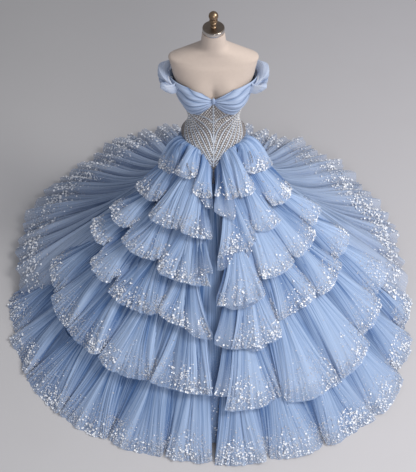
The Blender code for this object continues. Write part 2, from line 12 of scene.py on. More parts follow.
import bmesh
import bpy
import numpy as np
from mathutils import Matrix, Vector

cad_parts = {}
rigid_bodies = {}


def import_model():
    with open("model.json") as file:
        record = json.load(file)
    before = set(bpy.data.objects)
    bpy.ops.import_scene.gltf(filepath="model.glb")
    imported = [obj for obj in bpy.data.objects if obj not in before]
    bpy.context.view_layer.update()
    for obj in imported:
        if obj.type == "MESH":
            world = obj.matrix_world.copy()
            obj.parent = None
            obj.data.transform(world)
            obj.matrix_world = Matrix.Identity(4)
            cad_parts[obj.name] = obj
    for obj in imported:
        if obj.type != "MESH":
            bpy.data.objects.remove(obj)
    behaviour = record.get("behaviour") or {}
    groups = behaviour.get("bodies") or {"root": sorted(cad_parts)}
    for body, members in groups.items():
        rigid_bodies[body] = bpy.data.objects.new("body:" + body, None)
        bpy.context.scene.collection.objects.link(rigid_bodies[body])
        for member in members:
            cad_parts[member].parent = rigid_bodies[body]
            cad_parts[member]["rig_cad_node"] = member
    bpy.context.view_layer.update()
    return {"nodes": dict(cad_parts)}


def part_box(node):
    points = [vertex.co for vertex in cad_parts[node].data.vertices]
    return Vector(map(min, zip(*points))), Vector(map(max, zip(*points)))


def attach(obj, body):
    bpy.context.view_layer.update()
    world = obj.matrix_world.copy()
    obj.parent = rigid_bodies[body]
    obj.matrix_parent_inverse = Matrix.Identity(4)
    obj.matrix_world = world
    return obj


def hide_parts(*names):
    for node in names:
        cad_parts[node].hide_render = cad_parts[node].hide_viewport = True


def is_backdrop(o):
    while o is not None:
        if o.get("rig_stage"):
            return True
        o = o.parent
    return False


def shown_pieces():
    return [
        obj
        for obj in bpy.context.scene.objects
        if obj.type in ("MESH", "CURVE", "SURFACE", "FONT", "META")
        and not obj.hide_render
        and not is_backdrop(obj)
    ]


for thing in list(bpy.data.objects):
    bpy.data.objects.remove(thing)
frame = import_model()

# %% [markdown]
# ## The sizes
# The cloth has to lie where the solids lie, so the scene works from the same named sizes: the dress
# form's sections, the corset's pointed edge, the bust band's edges, the skirt's profile and the tiers.
# A table is a short list of rows, and every row is one section, edge point or tier.

# %% Sizes of the form and the bodice
CLOTH_WALL = 0.002
SEAM_GAP = 0.0003
FORM_CLEARANCE = 0.0040
DRAPE_CLEARANCE = 0.0088
NECK_TOP_Z = 1.538
FORM_BOTTOM_Z = 0.740
CAP_RADIUS = 0.0475
CAP_TOP_Z = 1.561
FINIAL_TOP_Z = 1.638

# height, half width, depth to the front, depth to the back
FORM_SECTIONS = [
    (0.740, 0.158, 0.122, 0.132), (0.800, 0.170, 0.134, 0.142), (0.860, 0.168, 0.138, 0.140),
    (0.920, 0.157, 0.131, 0.126), (0.960, 0.143, 0.120, 0.110), (1.000, 0.121, 0.104, 0.092),
    (1.044, 0.108, 0.092, 0.081), (1.090, 0.113, 0.095, 0.083), (1.140, 0.125, 0.103, 0.088),
    (1.190, 0.138, 0.113, 0.092), (1.240, 0.150, 0.121, 0.096), (1.290, 0.169, 0.114, 0.097),
    (1.340, 0.186, 0.098, 0.094), (1.385, 0.192, 0.080, 0.082), (1.405, 0.190, 0.068, 0.066),
    (1.425, 0.163, 0.060, 0.056), (1.440, 0.130, 0.055, 0.052), (1.453, 0.096, 0.053, 0.051),
    (1.464, 0.068, 0.052, 0.051), (1.478, 0.0555, 0.0505, 0.0505), (1.505, 0.0515, 0.0495, 0.0500),
    (NECK_TOP_Z, 0.0475, 0.0475, 0.0475),
]
SECTION_SQUARENESS = 2.25
BUST_ANGLE = 35.0
BUST_SPREAD = 20.0
BUST_HEIGHT = 1.245
BUST_REACH = 0.060
BUST_DEPTH = 0.023

# angle from the front, height
BASQUE_EDGE = [(0.0, 0.832), (5.0, 0.868), (11.0, 0.905), (21.0, 0.943), (36.0, 0.960), (60.0, 0.964),
               (90.0, 0.955), (180.0, 0.950)]
# angle from the front, top height, bottom height, puff
DRAPE_EDGES = [
    (4.0, 1.272, 1.241, 0.002), (14.0, 1.288, 1.212, 0.006), (26.0, 1.304, 1.178, 0.008),
    (42.0, 1.314, 1.154, 0.011), (62.0, 1.319, 1.160, 0.012), (92.0, 1.316, 1.178, 0.010),
    (130.0, 1.300, 1.182, 0.004), (180.0, 1.290, 1.184, 0.003),
]

# %% Sizes of the skirt
SIDE_SEAM = 76.5
BACK_BLEND_END = 112.0
FLOOR_CLEARANCE = 0.0006
# share of the way down, radius in front, height in front, radius behind, height behind
SKIRT_PROFILE = [
    (0.14, 0.256, 0.728, 0.205, 0.790), (0.32, 0.434, 0.579, 0.290, 0.580),
    (0.52, 0.630, 0.415, 0.425, 0.370), (0.72, 0.824, 0.252, 0.610, 0.215),
    (0.88, 0.978, 0.123, 0.830, 0.105), (1.00, 1.095, 0.024, 1.000, 0.004),
]
STAY_SHARE = 0.03
STAY_HEIGHT = 0.004
SLIT_RIDGE = 0.035
SLIT_RIDGE_WIDTH = 8.5
# lobes: angle where it starts, how much lower it hangs there and where it ends, depth of its first crease.
# lead is how far each half's slit edge starts from the middle, on the left and on the right.
# end_crease is the crease's depth at the side seam. opens is where the top ply starts, and flap is how
# much lower the ply beneath hangs at the slit and in the middle of the first lobe
TIERS = [
    dict(name="tier_1", top_radius=0.000, hem_radius=0.302, hem_height=0.802, crease=0.050,
         end_crease=0.1, lead=(0.03, 0.03), opens=(0.0, 0.0), flap=((0.03, 0.0), (0.04, 0.05)),
         left=[(0.6, -0.008, -0.022, 0.0), (21.0, -0.080, -0.055, 1.0), (48.0, -0.050, -0.012, 0.7)],
         right=[(0.6, -0.016, 0.002, 0.0), (23.0, -0.004, 0.000, 0.7), (41.0, -0.075, -0.002, 1.0)]),
    dict(name="tier_2", top_radius=0.190, hem_radius=0.412, hem_height=0.700, crease=0.060,
         end_crease=0.3, lead=(0.12, 0.10), opens=(0.0, 0.0), flap=((-0.02, -0.03), (0.01, 0.03)),
         left=[(0.4, 0.022, 0.004, 0.0), (23.0, 0.004, 0.018, 0.4), (47.0, -0.050, 0.012, 1.0)],
         right=[(2.0, 0.088, 0.052, 0.0), (27.0, 0.022, 0.040, 1.0), (46.0, -0.030, 0.020, 0.9)]),
    dict(name="tier_3", top_radius=0.305, hem_radius=0.598, hem_height=0.552, crease=0.064,
         end_crease=0.9, lead=(0.12, 0.18), opens=(1.0, 0.0), flap=((-0.06, 0.0), (-0.02, 0.005)),
         left=[(0.3, 0.008, -0.014, 0.0), (28.0, -0.046, -0.020, 1.0), (53.0, -0.072, -0.034, 1.0)],
         right=[(1.2, 0.074, 0.068, 0.0), (21.5, 0.010, 0.000, 1.0), (40.0, -0.006, -0.004, 0.6),
                (61.0, -0.025, -0.040, 0.8)]),
    dict(name="tier_4", top_radius=0.475, hem_radius=0.772, hem_height=0.406, crease=0.066,
         end_crease=0.9, lead=(0.17, 0.14), opens=(0.0, 5.5), flap=((0.01, 0.0), (-0.035, 0.005)),
         left=[(0.3, 0.003, -0.040, 0.0), (21.0, -0.032, -0.012, 0.9), (43.5, -0.054, -0.036, 1.0),
               (59.0, -0.110, -0.100, 1.0)],
         right=[(0.3, 0.060, 0.054, 0.0), (23.5, 0.008, -0.036, 1.0), (42.0, -0.004, -0.006, 0.9),
                (60.0, -0.022, -0.040, 0.8)]),
    dict(name="tier_5", top_radius=0.620, hem_radius=0.995, hem_height=0.214, crease=0.070,
         end_crease=0.9, lead=(0.06, 0.12), opens=(0.0, 2.8), flap=((-0.025, -0.03), (-0.065, -0.035)),
         left=[(0.25, -0.002, -0.022, 0.0), (18.0, -0.016, -0.012, 0.9), (35.0, -0.034, -0.020, 1.0),
               (48.5, -0.020, -0.012, 0.8), (62.0, -0.026, -0.046, 0.9)],
         right=[(0.25, 0.048, 0.044, 0.0), (18.5, 0.054, 0.085, 0.9), (35.0, 0.075, 0.040, 0.8),
                (48.5, 0.024, 0.012, 0.9), (62.0, 0.000, -0.020, 0.8)]),
    dict(name="tier_6", top_radius=0.880, hem_radius=1.240, hem_height=0.004, crease=0.060,
         end_crease=0.9, lead=(0.02, 0.05), opens=(0.0, 0.0), flap=((0.0, 0.0), (0.0, 0.0)),
         left=[(0.25, -0.022, -0.014, 0.0), (11.0, -0.010, -0.018, 0.6), (24.5, -0.014, -0.004, 0.9),
               (37.5, -0.008, 0.000, 0.8), (51.0, -0.004, 0.000, 0.9), (63.0, -0.006, 0.000, 0.8)],
         right=[(0.25, -0.004, -0.006, 0.0), (12.0, 0.000, 0.018, 0.7), (25.0, 0.022, 0.030, 0.9),
                (38.0, 0.024, 0.000, 0.8), (51.0, -0.014, -0.036, 0.9), (63.0, -0.042, -0.056, 0.8)]),
]
TIER_END = 76.0
SIDE_SHRINK = 0.095
# each of the train's gores: its name, and the angles where it starts and ends
TRAIN_GORES = [("side", SIDE_SEAM, 128.0), ("back", 128.0, 180.0)]
# the off-shoulder band's ends: angle and height at its top edge, then at its bottom edge
SLEEVE_FRONT = (66.0, 1.320, 59.0, 1.279)
SLEEVE_BACK = (124.0, 1.286, 124.0, 1.244)
# its section where it stands out most, from the top edge down: distance from the axis, height
SLEEVE_SECTION = [
    (0.200, 1.328), (0.215, 1.337), (0.232, 1.338), (0.246, 1.329), (0.248, 1.311), (0.241, 1.291),
    (0.230, 1.273), (0.217, 1.260),
]
# how far round the loop it stands out: share of the way along, share of the reach
SLEEVE_REACH = [
    (0.00, 0.00), (0.03, 0.52), (0.08, 0.80), (0.14, 0.94), (0.19, 0.87), (0.235, 0.68), (0.29, 0.93),
    (0.38, 1.02), (0.50, 0.98), (0.65, 0.74), (0.80, 0.36), (1.00, 0.00),
]
SLEEVE_NOTCH = 0.235
print("tiers:", len(TIERS), "form sections:", len(FORM_SECTIONS))

# %% [markdown]
# ## Reading the tables
# A fine cloth mesh has tens of thousands of points, so every function here works on whole arrays of
# points at once. A smooth line is drawn through each table's rows, because cloth has no corners there.

# %% Small tools for arrays
def ease(value, start, end):
    """Rises smoothly from 0 at start to 1 at end."""
    share = np.clip((value - start) / (end - start), 0.0, 1.0)
    return share * share * (3.0 - 2.0 * share)


def stacked(values, at):
    """One row for each value. A value is a number or an array like at."""
    return np.stack([np.broadcast_to(np.asarray(value, float), at.shape) for value in values])


def picked(values, row):
    return np.take_along_axis(values, row[None], axis=0)[0]


def through(stops, values, at):
    """A smooth line through values at the stops."""
    at = np.asarray(at, float)
    stops = np.asarray(stops, float)
    values = stacked(values, at)
    last = len(stops) - 1
    low = np.clip(np.searchsorted(stops, at) - 1, 0, last - 1)
    rows = [np.clip(low + step, 0, last) for step in (-1, 0, 1, 2)]
    s0, s1, s2, s3 = (stops[row] for row in rows)
    v0, v1, v2, v3 = (picked(values, row) for row in rows)
    part = np.clip((at - s1) / (s2 - s1), 0.0, 1.0)
    slope_low = (v2 - v0) / (s2 - s0) * (s2 - s1)
    slope_high = (v3 - v1) / (s3 - s1) * (s2 - s1)
    square, cube = part ** 2, part ** 3
    return ((2.0 * cube - 3.0 * square + 1.0) * v1 + (cube - 2.0 * square + part) * slope_low
            + (3.0 * square - 2.0 * cube) * v2 + (cube - square) * slope_high)


def straight(stops, values, at):
    """A line of straight pieces through values at the stops."""
    at = np.asarray(at, float)
    stops = np.asarray(stops, float)
    values = stacked(values, at)
    low = np.clip(np.searchsorted(stops, at) - 1, 0, len(stops) - 2)
    part = np.clip((at - stops[low]) / (stops[low + 1] - stops[low]), 0.0, 1.0)
    start = picked(values, low)
    return start + part * (picked(values, low + 1) - start)


def read_table(rows, at, column):
    return through([row[0] for row in rows], [row[column] for row in rows], at)


def on_circle(angle, radius, height):
    """Points at that angle from the front, in degrees, round the figure's axis."""
    angle, radius, height = np.broadcast_arrays(angle, radius, height)
    turn = np.radians(angle)
    return np.stack([radius * np.sin(turn), -radius * np.cos(turn), height], axis=-1)


def away_from_front(angle):
    return np.abs((angle + 180.0) % 360.0 - 180.0)


def uneven(number, salt):
    """A steady, uneven value from -1 to 1 for a fold's number."""
    wave = np.sin(number * 12.9898 + salt * 78.233) * 43758.5453
    return 2.0 * (wave - np.floor(wave)) - 1.0


print("half way through an ease:", float(ease(0.5, 0.0, 1.0)))

# %% [markdown]
# ## The figure
# A limbless form is a stack of soft ovals with two cups. The corset and the bust band follow it at a
# few millimetres, so they are made from its own surface, moved out.

# %% The dress form's surface
def form_radius(angle, height):
    """Distance of the dress form's surface from its axis."""
    angle, height = np.broadcast_arrays(np.asarray(angle, float), np.asarray(height, float))
    turn = np.radians(angle)
    half_width, front_depth, back_depth = (read_table(FORM_SECTIONS, height, column) for column in (1, 2, 3))
    depth = np.where(np.cos(turn) >= 0.0, front_depth, back_depth)
    across = np.abs(np.sin(turn) / half_width) ** SECTION_SQUARENESS
    along = np.abs(np.cos(turn) / depth) ** SECTION_SQUARENESS
    radius = (across + along) ** (-1.0 / SECTION_SQUARENESS)
    from_cup = (away_from_front(angle) - BUST_ANGLE) / BUST_SPREAD
    from_height = (height - BUST_HEIGHT) / BUST_REACH
    return radius + BUST_DEPTH * np.exp(-from_cup ** 2 - from_height ** 2)


def seam_height(angle):
    return read_table(BASQUE_EDGE, away_from_front(angle), 1)


def drape_edges(angle):
    """The bust band's top and bottom heights, and how far it puffs out."""
    return [read_table(DRAPE_EDGES, away_from_front(angle), column) for column in (1, 2, 3)]


print("waist, half width:", round(float(form_radius(90.0, 1.044)), 4))

# %% The skirt's foundation
BEND_SHARE = SKIRT_PROFILE[0][0]
SHRINK_FROM = 38.0
FULL_SHRINK_RADIUS = 1.1


def seam_point(angle, off):
    """Radius and height of the waist seam, that far off the form."""
    height = seam_height(angle)
    return form_radius(angle, height) + off, height


def drawn_in(radius, angle):
    """Every radius comes in a little towards the side seams, the larger ones more."""
    beside = ease(away_from_front(angle), SHRINK_FROM, SIDE_SEAM)
    return radius * (1.0 - SIDE_SHRINK * (beside * np.minimum(1.0, radius / FULL_SHRINK_RADIUS)))


def skirt_profile(angle, share, line=straight):
    """The foundation's radius and height at that share of the way from the seam to the floor."""
    behind = ease(away_from_front(angle), SIDE_SEAM, BACK_BLEND_END)
    radius, height = seam_point(angle, FORM_CLEARANCE)
    height = height - SEAM_GAP
    shares = [0.0, STAY_SHARE] + [row[0] for row in SKIRT_PROFILE]
    starts = (radius, height, radius, height)
    stays = (radius, height - STAY_HEIGHT, radius, height - STAY_HEIGHT)
    found = []
    for column, (start, stay) in enumerate(zip(starts, stays), 1):
        found.append(line(shares, [start, stay] + [row[column] for row in SKIRT_PROFILE], share))
    front_radius, front_height, back_radius, back_height = found
    radius = drawn_in(front_radius, angle) * (1.0 - behind) + back_radius * behind
    return radius, front_height + behind * (back_height - front_height)


def underskirt_line(angle):
    """Radii and heights where the underskirt's slope starts, bends and ends."""
    rows = [skirt_profile(angle, np.full(np.shape(angle), share)) for share in (STAY_SHARE, BEND_SHARE, 1.0)]
    return [row[0] for row in rows], [row[1] for row in rows]


def slope(at, along, values):
    """Values on the upper and on the lower of two straight pieces, at a place along them."""
    upper = values[0] + (at - along[0]) / (along[1] - along[0]) * (values[1] - values[0])
    lower = values[1] + (at - along[1]) / (along[2] - along[1]) * (values[2] - values[1])
    return upper, lower


def foundation_height(angle, radius):
    """Height of the underskirt at an angle and a radius outside the waist stay."""
    radii, heights = underskirt_line(angle)
    upper, lower = slope(radius, radii, heights)
    return np.where(radius < radii[1], np.minimum(upper, heights[0]), lower)


def foundation_radius(angle, height):
    """Radius of the underskirt at an angle and a height."""
    radii, heights = underskirt_line(angle)
    upper, lower = slope(height, heights, radii)
    return np.where(height > heights[1], np.maximum(upper, radii[0]), lower)


sample = foundation_height(np.array([30.0]), 0.6)
print("underskirt at 30 degrees and radius 0.6:", round(float(sample[0]), 3))

# %% [markdown]
# ## Folds in tulle
# Gathered tulle has folds of two sizes. Each tier hangs in broad flutes with deep creases between them:
# a flute is narrow where it is gathered and fans out until it nearly touches its neighbour at the hem.
# Over the flutes run fine pleats that start at the gathers. They are uneven in width and depth, so they
# come from three wandering lines of different pace, and never from an even wave.

# %% Fine pleats
def wander(at, salt):
    """A smooth uneven line from -1 to 1, with one steady random value at each whole number."""
    low = np.floor(at)
    part = at - low
    part = part * part * (3.0 - 2.0 * part)
    return (1.0 - part) * uneven(low, salt) + part * uneven(low + 1.0, salt)


def ridges(line):
    """Turns a wandering line into round ridges from -1 to 1 with a sharp groove wherever it crosses 0."""
    return 2.0 * np.abs(line) ** 0.6 - 1.0


def pleats(across, down, count, salt):
    """Uneven pleats from -1 to 1. Across and down run from 0 to 1, and count is how many there are."""
    sway = 0.7 * wander(2.2 * down + 9.0 * across, salt + 0.3)
    main = ridges(wander(1.5 * count * across + sway, salt))
    thin = ridges(wander(2.9 * count * across + sway, salt + 3.1))
    broad = wander(0.55 * count * across + 0.5 * sway, salt + 1.7)
    loud = 0.55 + 0.65 * np.abs(wander(0.4 * count * across + 1.5 * down, salt + 4.4))
    return loud * (0.46 * main + 0.28 * thin) + 0.62 * broad


def flute(part, down, narrow_top, hem_overlap):
    """For a place 0 to 1 across a flute: its shifted place, and how deep it is in a crease, 0 to 1."""
    from_crease = np.minimum(part, 1.0 - part)
    walls = 1.0 - ease(from_crease, 0.02, 0.13 + 0.20 * (1.0 - down))
    crown = (1.0 - np.sin(math.pi * part)) ** 1.2
    crowding = -narrow_top + (narrow_top + hem_overlap) * down ** 1.3
    shifted = part - crowding * np.sin(2.0 * math.pi * part) / (2.0 * math.pi)
    return shifted, 0.62 * walls + 0.38 * crown


print("pleat at the start:", round(float(pleats(np.array([0.0]), 0.0, 40, 1.0)[0]), 3))

# %% [markdown]
# ## One tier
# A tier is worked out in steps. Its place across says which lobe it lies in and how deep the creases
# beside that lobe are. Then come the line where it is sewn on, the line of its hem, the slope between
# them, and the fine pleats on top. Layer 0 is the ply that shows, and layer 1 is the ply beneath it.

# %% A tier's lobes
# the share of a lobe, at each end, in which the hem steps to the next lobe
CREASE_STEP = 0.06
CREASE_LIFT = 0.022
TOP_LAYER_CLEARANCE = 0.0011
# the cosine of the foundation's slope, which turns a clearance off the cloth into a rise
FOUNDATION_COSINE = 0.766
# a hem that reaches further out also lies lower, by this much for each metre
HEM_FALL = 0.84
CROWN_BOW = 0.010
# a pleat on the ply that shows and on the one beneath
PLEAT_WIDTH = (0.019, 0.026)
# how far tier 1 puffs up over the hips
PUFF = 0.030


def tier_rows(tier, side):
    return tier["right"] if side > 0.0 else tier["left"]


def tier_folds(tier, side):
    """Angles where the lobes start, and the angle where the last one ends."""
    return np.array([row[0] for row in tier_rows(tier, side)] + [TIER_END])


def lobe_at(tier, side, across, layer):
    """The lobes' edges, then for each place: its angle, its lobe's number and width, its share of the way
    across that lobe, and the depth of the crease on its side."""
    folds = tier_folds(tier, side)
    if not layer:
        folds[0] = max(folds[0], tier["opens"][side > 0.0])
    depths = np.array([row[3] for row in tier_rows(tier, side)] + [tier["end_crease"]])
    flat_angle = folds[0] + across * (folds[-1] - folds[0])
    number = np.clip(np.searchsorted(folds, flat_angle, side="right") - 1, 0, len(folds) - 2)
    pitch = folds[number + 1] - folds[number]
    part = np.clip((flat_angle - folds[number]) / pitch, 0.0, 1.0)
    return folds, flat_angle, number, pitch, part, np.where(part < 0.5, depths[number], depths[number + 1])


def in_crease(number, part, deep, down, layer, salt):
    """Where a place across its lobe is shifted to, and how deep it lies in a crease."""
    if layer:
        return part, 0.5 + 0.5 * np.cos(2.0 * math.pi * (part * 2.0 + 0.17 * salt))
    shifted, fold = flute(part, down, 0.80, 1.02)
    shifted = part + (shifted - part) * np.where(number + part < 0.5, 0.4, np.clip(deep * 1.2, 0.0, 1.0))
    return shifted, fold * deep


def tier_seam(tier, angle):
    """Radius and height of the line where a tier is sewn on."""
    if tier is TIERS[0]:
        radius, height = seam_point(angle, FORM_CLEARANCE + CLOTH_WALL + TOP_LAYER_CLEARANCE)
        return radius, height - 3.0 * SEAM_GAP
    radius = drawn_in(tier["top_radius"], angle)
    return radius, foundation_height(angle, radius) + (CLOTH_WALL + TOP_LAYER_CLEARANCE) / FOUNDATION_COSINE


def tier_hem(tier, side, angle, in_first, layer):
    """Radius and height of the hem. It steps from one lobe to the next inside a crease."""
    stops, drops = [], []
    folds = tier_folds(tier, side)
    for (start, first, last, depth), end in zip(tier_rows(tier, side), folds[1:]):
        step = CREASE_STEP * (end - start)
        stops += [start + step, end - step]
        drops += [first, last]
    drop = straight(stops, drops, angle)
    if layer:
        drop = drop + straight((0.0, 0.6, 1.0), tier["flap"][side > 0.0] + (0.0,), in_first)
    fall = 0.0 if tier is TIERS[-1] else HEM_FALL
    return drawn_in(tier["hem_radius"] + drop, angle), tier["hem_height"] - fall * drop


sample = tier_hem(TIERS[4], 1.0, np.array([30.0]), 0.0, 0)
print("tier 5 hem, radius and height:", [round(float(value[0]), 3) for value in sample])

# %% A tier's surface
def tier_slope(tier, side, across, down, layer, salt):
    """A tier without its fine pleats: angle, distance out, height up, puff, how deep each place lies in a
    crease, and how many degrees the tier spans."""
    folds, flat_angle, number, pitch, part, deep = lobe_at(tier, side, across, layer)
    shifted, fold = in_crease(number, part, deep, down, layer, salt)
    beside_slit = np.clip(1.0 - number - part, 0.0, 1.0) ** 1.5
    lead = np.degrees(tier["lead"][side > 0.0] / (0.2 + tier["hem_radius"]))
    lead = lead * np.clip(1.0 - down, 0.0, 1.0) ** 0.9 * beside_slit
    angle = folds[number] + pitch * shifted + lead * (0.9 if layer else 1.0)
    radius, height = tier_seam(tier, angle)
    in_first = np.clip((flat_angle - folds[0]) / (folds[1] - folds[0]), 0.0, 1.0)
    hem_radius, hem_height = tier_hem(tier, side, flat_angle, in_first, layer)
    if layer:
        depth = tier["crease"] * (0.70 + 0.35 * fold) * down ** 0.8 * (0.25 + 0.75 * ease(in_first, 0.5, 1.0))
        lift = 0.008 * down * down * fold
        bow = 0.0
    else:
        size = 1.0 + 0.20 * uneven(number, salt)
        depth = tier["crease"] * size * fold * down ** 0.7 * 1.15
        bow = -CROWN_BOW * np.sin(math.pi * part)
        lift = CREASE_LIFT * down * down * fold + (0.0 if tier is TIERS[-1] else 1.0) * bow * down * down
    out = radius + (hem_radius - radius) * down ** 0.93 - depth - 0.6 * bow * down
    up = height + (hem_height - height) * down ** 1.18 + lift
    if tier is TIERS[0]:
        puff = PUFF * np.sin(math.pi * np.clip(down, 0.0, 1.0) ** 0.7) * ease(flat_angle, 14.0, 56.0)
    else:
        puff = 0.0
    return angle, out, up, puff, fold, folds[-1] - folds[0]


def tier_surface(tier, side, across, down, layer=0, fine=1.0):
    """Points of a tier, and their groove and crease depths. fine is the fine pleats' share."""
    salt = TIERS.index(tier) * 2 + (side > 0.0)
    angle, out, up, puff, fold, span = tier_slope(tier, side, across, down, layer, salt)
    count = span * math.radians(1.0) * tier["hem_radius"] / PLEAT_WIDTH[layer]
    ripple = pleats(across, down, count, salt + 7.0 * layer + 0.5)
    size = fine * (0.0022 + 0.0080 * down ** 1.1) * (1.0 - 0.25 * fold)
    flutter = fine * 0.0055 * ease(down, 0.72, 1.0) * wander(1.3 * count * across, salt + 5.0)
    fray = 0.0045 * ease(down, 0.80, 1.0) * wander(2.4 * count * across, salt + 9.0)
    swell = wander(0.26 * count * across + 0.3 * down, salt + 12.0) * (1.0 - 0.5 * fold)
    broad = fine * (0.0025 + 0.0110 * down) * swell
    out = out + 0.75 * size * ripple + flutter + 0.9 * broad + 0.4 * puff
    up = up + 0.75 * size * ripple + 0.6 * flutter + fray + 0.6 * broad + puff
    if tier is not TIERS[0]:
        clear = foundation_radius(angle, np.maximum(up, 0.03)) + 0.004
        out = np.where(down > 0.12, np.maximum(out, clear), out)
    points = on_circle(side * angle, out, np.maximum(up, FLOOR_CLEARANCE))
    return points, 0.5 - 0.5 * ripple - 0.35 * swell, fold * ease(down, 0.02, 0.45)


sample = tier_surface(TIERS[4], 1.0, np.linspace(0.0, 1.0, 5), np.full(5, 1.0))[0]
print("tier 5 hem:", sample.round(3).tolist())

# %% [markdown]
# ## Underskirt and train
# The underskirt is the layer that every tier is sewn to. It shows only in the slit, where it is pleated
# and stands out in a low ridge. The train has no tiers: each of its gores hangs in flutes that open
# towards the hem, and near the side seams the hem turns up in scallops.

# %% The underskirt
# the share of the sheet's rows that lies above the bend
UPPER_PART = 0.06
UNDERSKIRT_PLEATS = 80
SLIT_PLEAT_DEPTH = 0.014


def underskirt_surface(across, down, fine=1.0):
    """Points of the underskirt, their groove depths, and a painted shade that is darker lower down, where the
    tiers crowd over it, in place of crease depths. Its pleats are never left out.
    """
    angle = (2.0 * across - 1.0) * SIDE_SEAM
    above_bend = down / UPPER_PART * BEND_SHARE
    below_bend = BEND_SHARE + (down - UPPER_PART) / (1.0 - UPPER_PART) * (1.0 - BEND_SHARE)
    share = np.where(down < UPPER_PART, above_bend, below_bend)
    stops = (0.0, STAY_SHARE, BEND_SHARE, 1.0)
    radii, heights = underskirt_line(angle)
    start = skirt_profile(angle, np.zeros_like(angle))
    radius = straight(stops, [start[0]] + radii, share)
    height = straight(stops, [start[1]] + heights, share)
    lower = np.clip((share - BEND_SHARE) / (1.0 - BEND_SHARE), 0.0, 1.0)
    ridge = np.clip(1.0 - np.abs(angle) / SLIT_RIDGE_WIDTH, 0.0, 1.0)
    ripple = pleats(across, down, UNDERSKIRT_PLEATS, 3.3)
    radius = radius + SLIT_RIDGE * lower * ease(ridge, 0.0, 1.0)
    radius = radius + SLIT_PLEAT_DEPTH * lower * ripple * ease(ridge, 0.0, 0.6)
    # shade is painted shade: darker lower down, where the tiers crowd over the underskirt.
    shade = 0.5 + 0.4 * ease(down, 0.42, 0.60) + 0.3 * ease(down, 0.60, 0.75)
    return on_circle(angle, radius, height), 0.5 - 0.5 * ripple, shade


sample = underskirt_surface(np.array([0.5]), np.array([1.0]))[0]
print("underskirt's hem at the slit:", sample.round(3).tolist())

# %% The train
GORE_FOLDS = 7
GORE_PLEATS = 54
GORE_INSET = 0.02
TRAIN_FLUTE = 0.044
# how many degrees the side gore's front edge is tucked in under the tiers
TRAIN_TUCK = 7.0
TRAIN_SIDE_REACH = 0.048
SCALLOP_HEIGHT = 0.040
SCALLOP_DEPTH = 0.026
# at the left and at the right: how far the hem is drawn in by the side seam, and the hem's size elsewhere
TRAIN_DRAWN_IN = {-1.0: 0.012, 1.0: 0.034}
TRAIN_EVEN = {-1.0: 1.020, 1.0: 0.985}


def train_surface(side, gore, across, down, fine=1.0):
    """Points of one gore, and their groove and crease depths. fine is the fine pleats' share."""
    word, start, end = gore
    salt = 11.0 + side * 3.0 + start / 20.0
    open_here = ease(down, 0.2, 1.0)
    whole = across * GORE_FOLDS
    number = np.clip(np.floor(whole + 1e-9), 0, GORE_FOLDS - 1)
    shifted, fold = flute(whole - number, down, 0.10, 0.55)
    pitch = (end - start - 2.0 * GORE_INSET) / GORE_FOLDS
    curl = 2.6 * wander(7.0 * across + 0.5, salt + 6.0) * np.sin(math.pi * ease(down, 0.25, 1.0))
    curl = curl * np.minimum(1.0, 12.0 * np.minimum(across, 1.0 - across))
    tuck = TRAIN_TUCK * (1.0 - whole).clip(0.0, 1.0) * (word == "side")
    angle = start + GORE_INSET + (number + shifted) * pitch + curl - tuck
    radius, height = skirt_profile(side * angle, down, through)

    size = 1.0 + 0.3 * uneven(number, 5.0 + side + start)
    if word == "side":
        size = size * ease(whole, 0.0, 1.0)
    place = 10.0 * across + 0.35 * wander(6.0 * across, salt + 8.0)
    scallop = np.abs(np.sin(math.pi * place)) ** 0.6 * (0.85 + 0.15 * uneven(np.floor(place), salt))
    rise = ease(down, 0.45, 1.0) * ease(angle, SIDE_SEAM, 84.0)
    lift = 1.12 * TRAIN_FLUTE * size * open_here * (1.0 - fold) + SCALLOP_HEIGHT * rise * (scallop - 0.62)
    reach = TRAIN_SIDE_REACH * (1.0 - ease(angle, 96.0, 140.0))
    behind_seam = ease(angle, SIDE_SEAM, 90.0) * (1.0 - ease(angle, 150.0, 178.0))
    even = 1.0 + (TRAIN_EVEN[side] - 1.0) * open_here * behind_seam
    radius = (radius + 0.4 * lift + reach * open_here + SCALLOP_DEPTH * rise * (scallop - 0.7)) * even
    radius = radius - TRAIN_DRAWN_IN[side] * rise

    ripple = pleats(across, down, GORE_PLEATS, salt)
    size = fine * (0.0020 + 0.0115 * down)
    flutter = fine * 0.0085 * ease(down, 0.82, 1.0) * wander(1.5 * GORE_PLEATS * across, salt + 2.0)
    radius = radius + 0.45 * size * ripple + flutter
    height = height + lift + 0.9 * size * ripple + 0.8 * np.abs(flutter)
    points = on_circle(side * angle, radius, np.maximum(height, FLOOR_CLEARANCE))
    # crease sets painted shade in the flutes' creases and in the dips between the scallops.
    crease = np.clip(0.7 * fold + 0.9 * rise * (0.6 - scallop), 0.0, 1.0) * open_here
    return points, 0.5 - 0.5 * ripple, crease


sample = train_surface(1.0, TRAIN_GORES[0], np.linspace(0.0, 1.0, 5), np.full(5, 1.0))[0]
print("train hem:", sample.round(3).tolist())
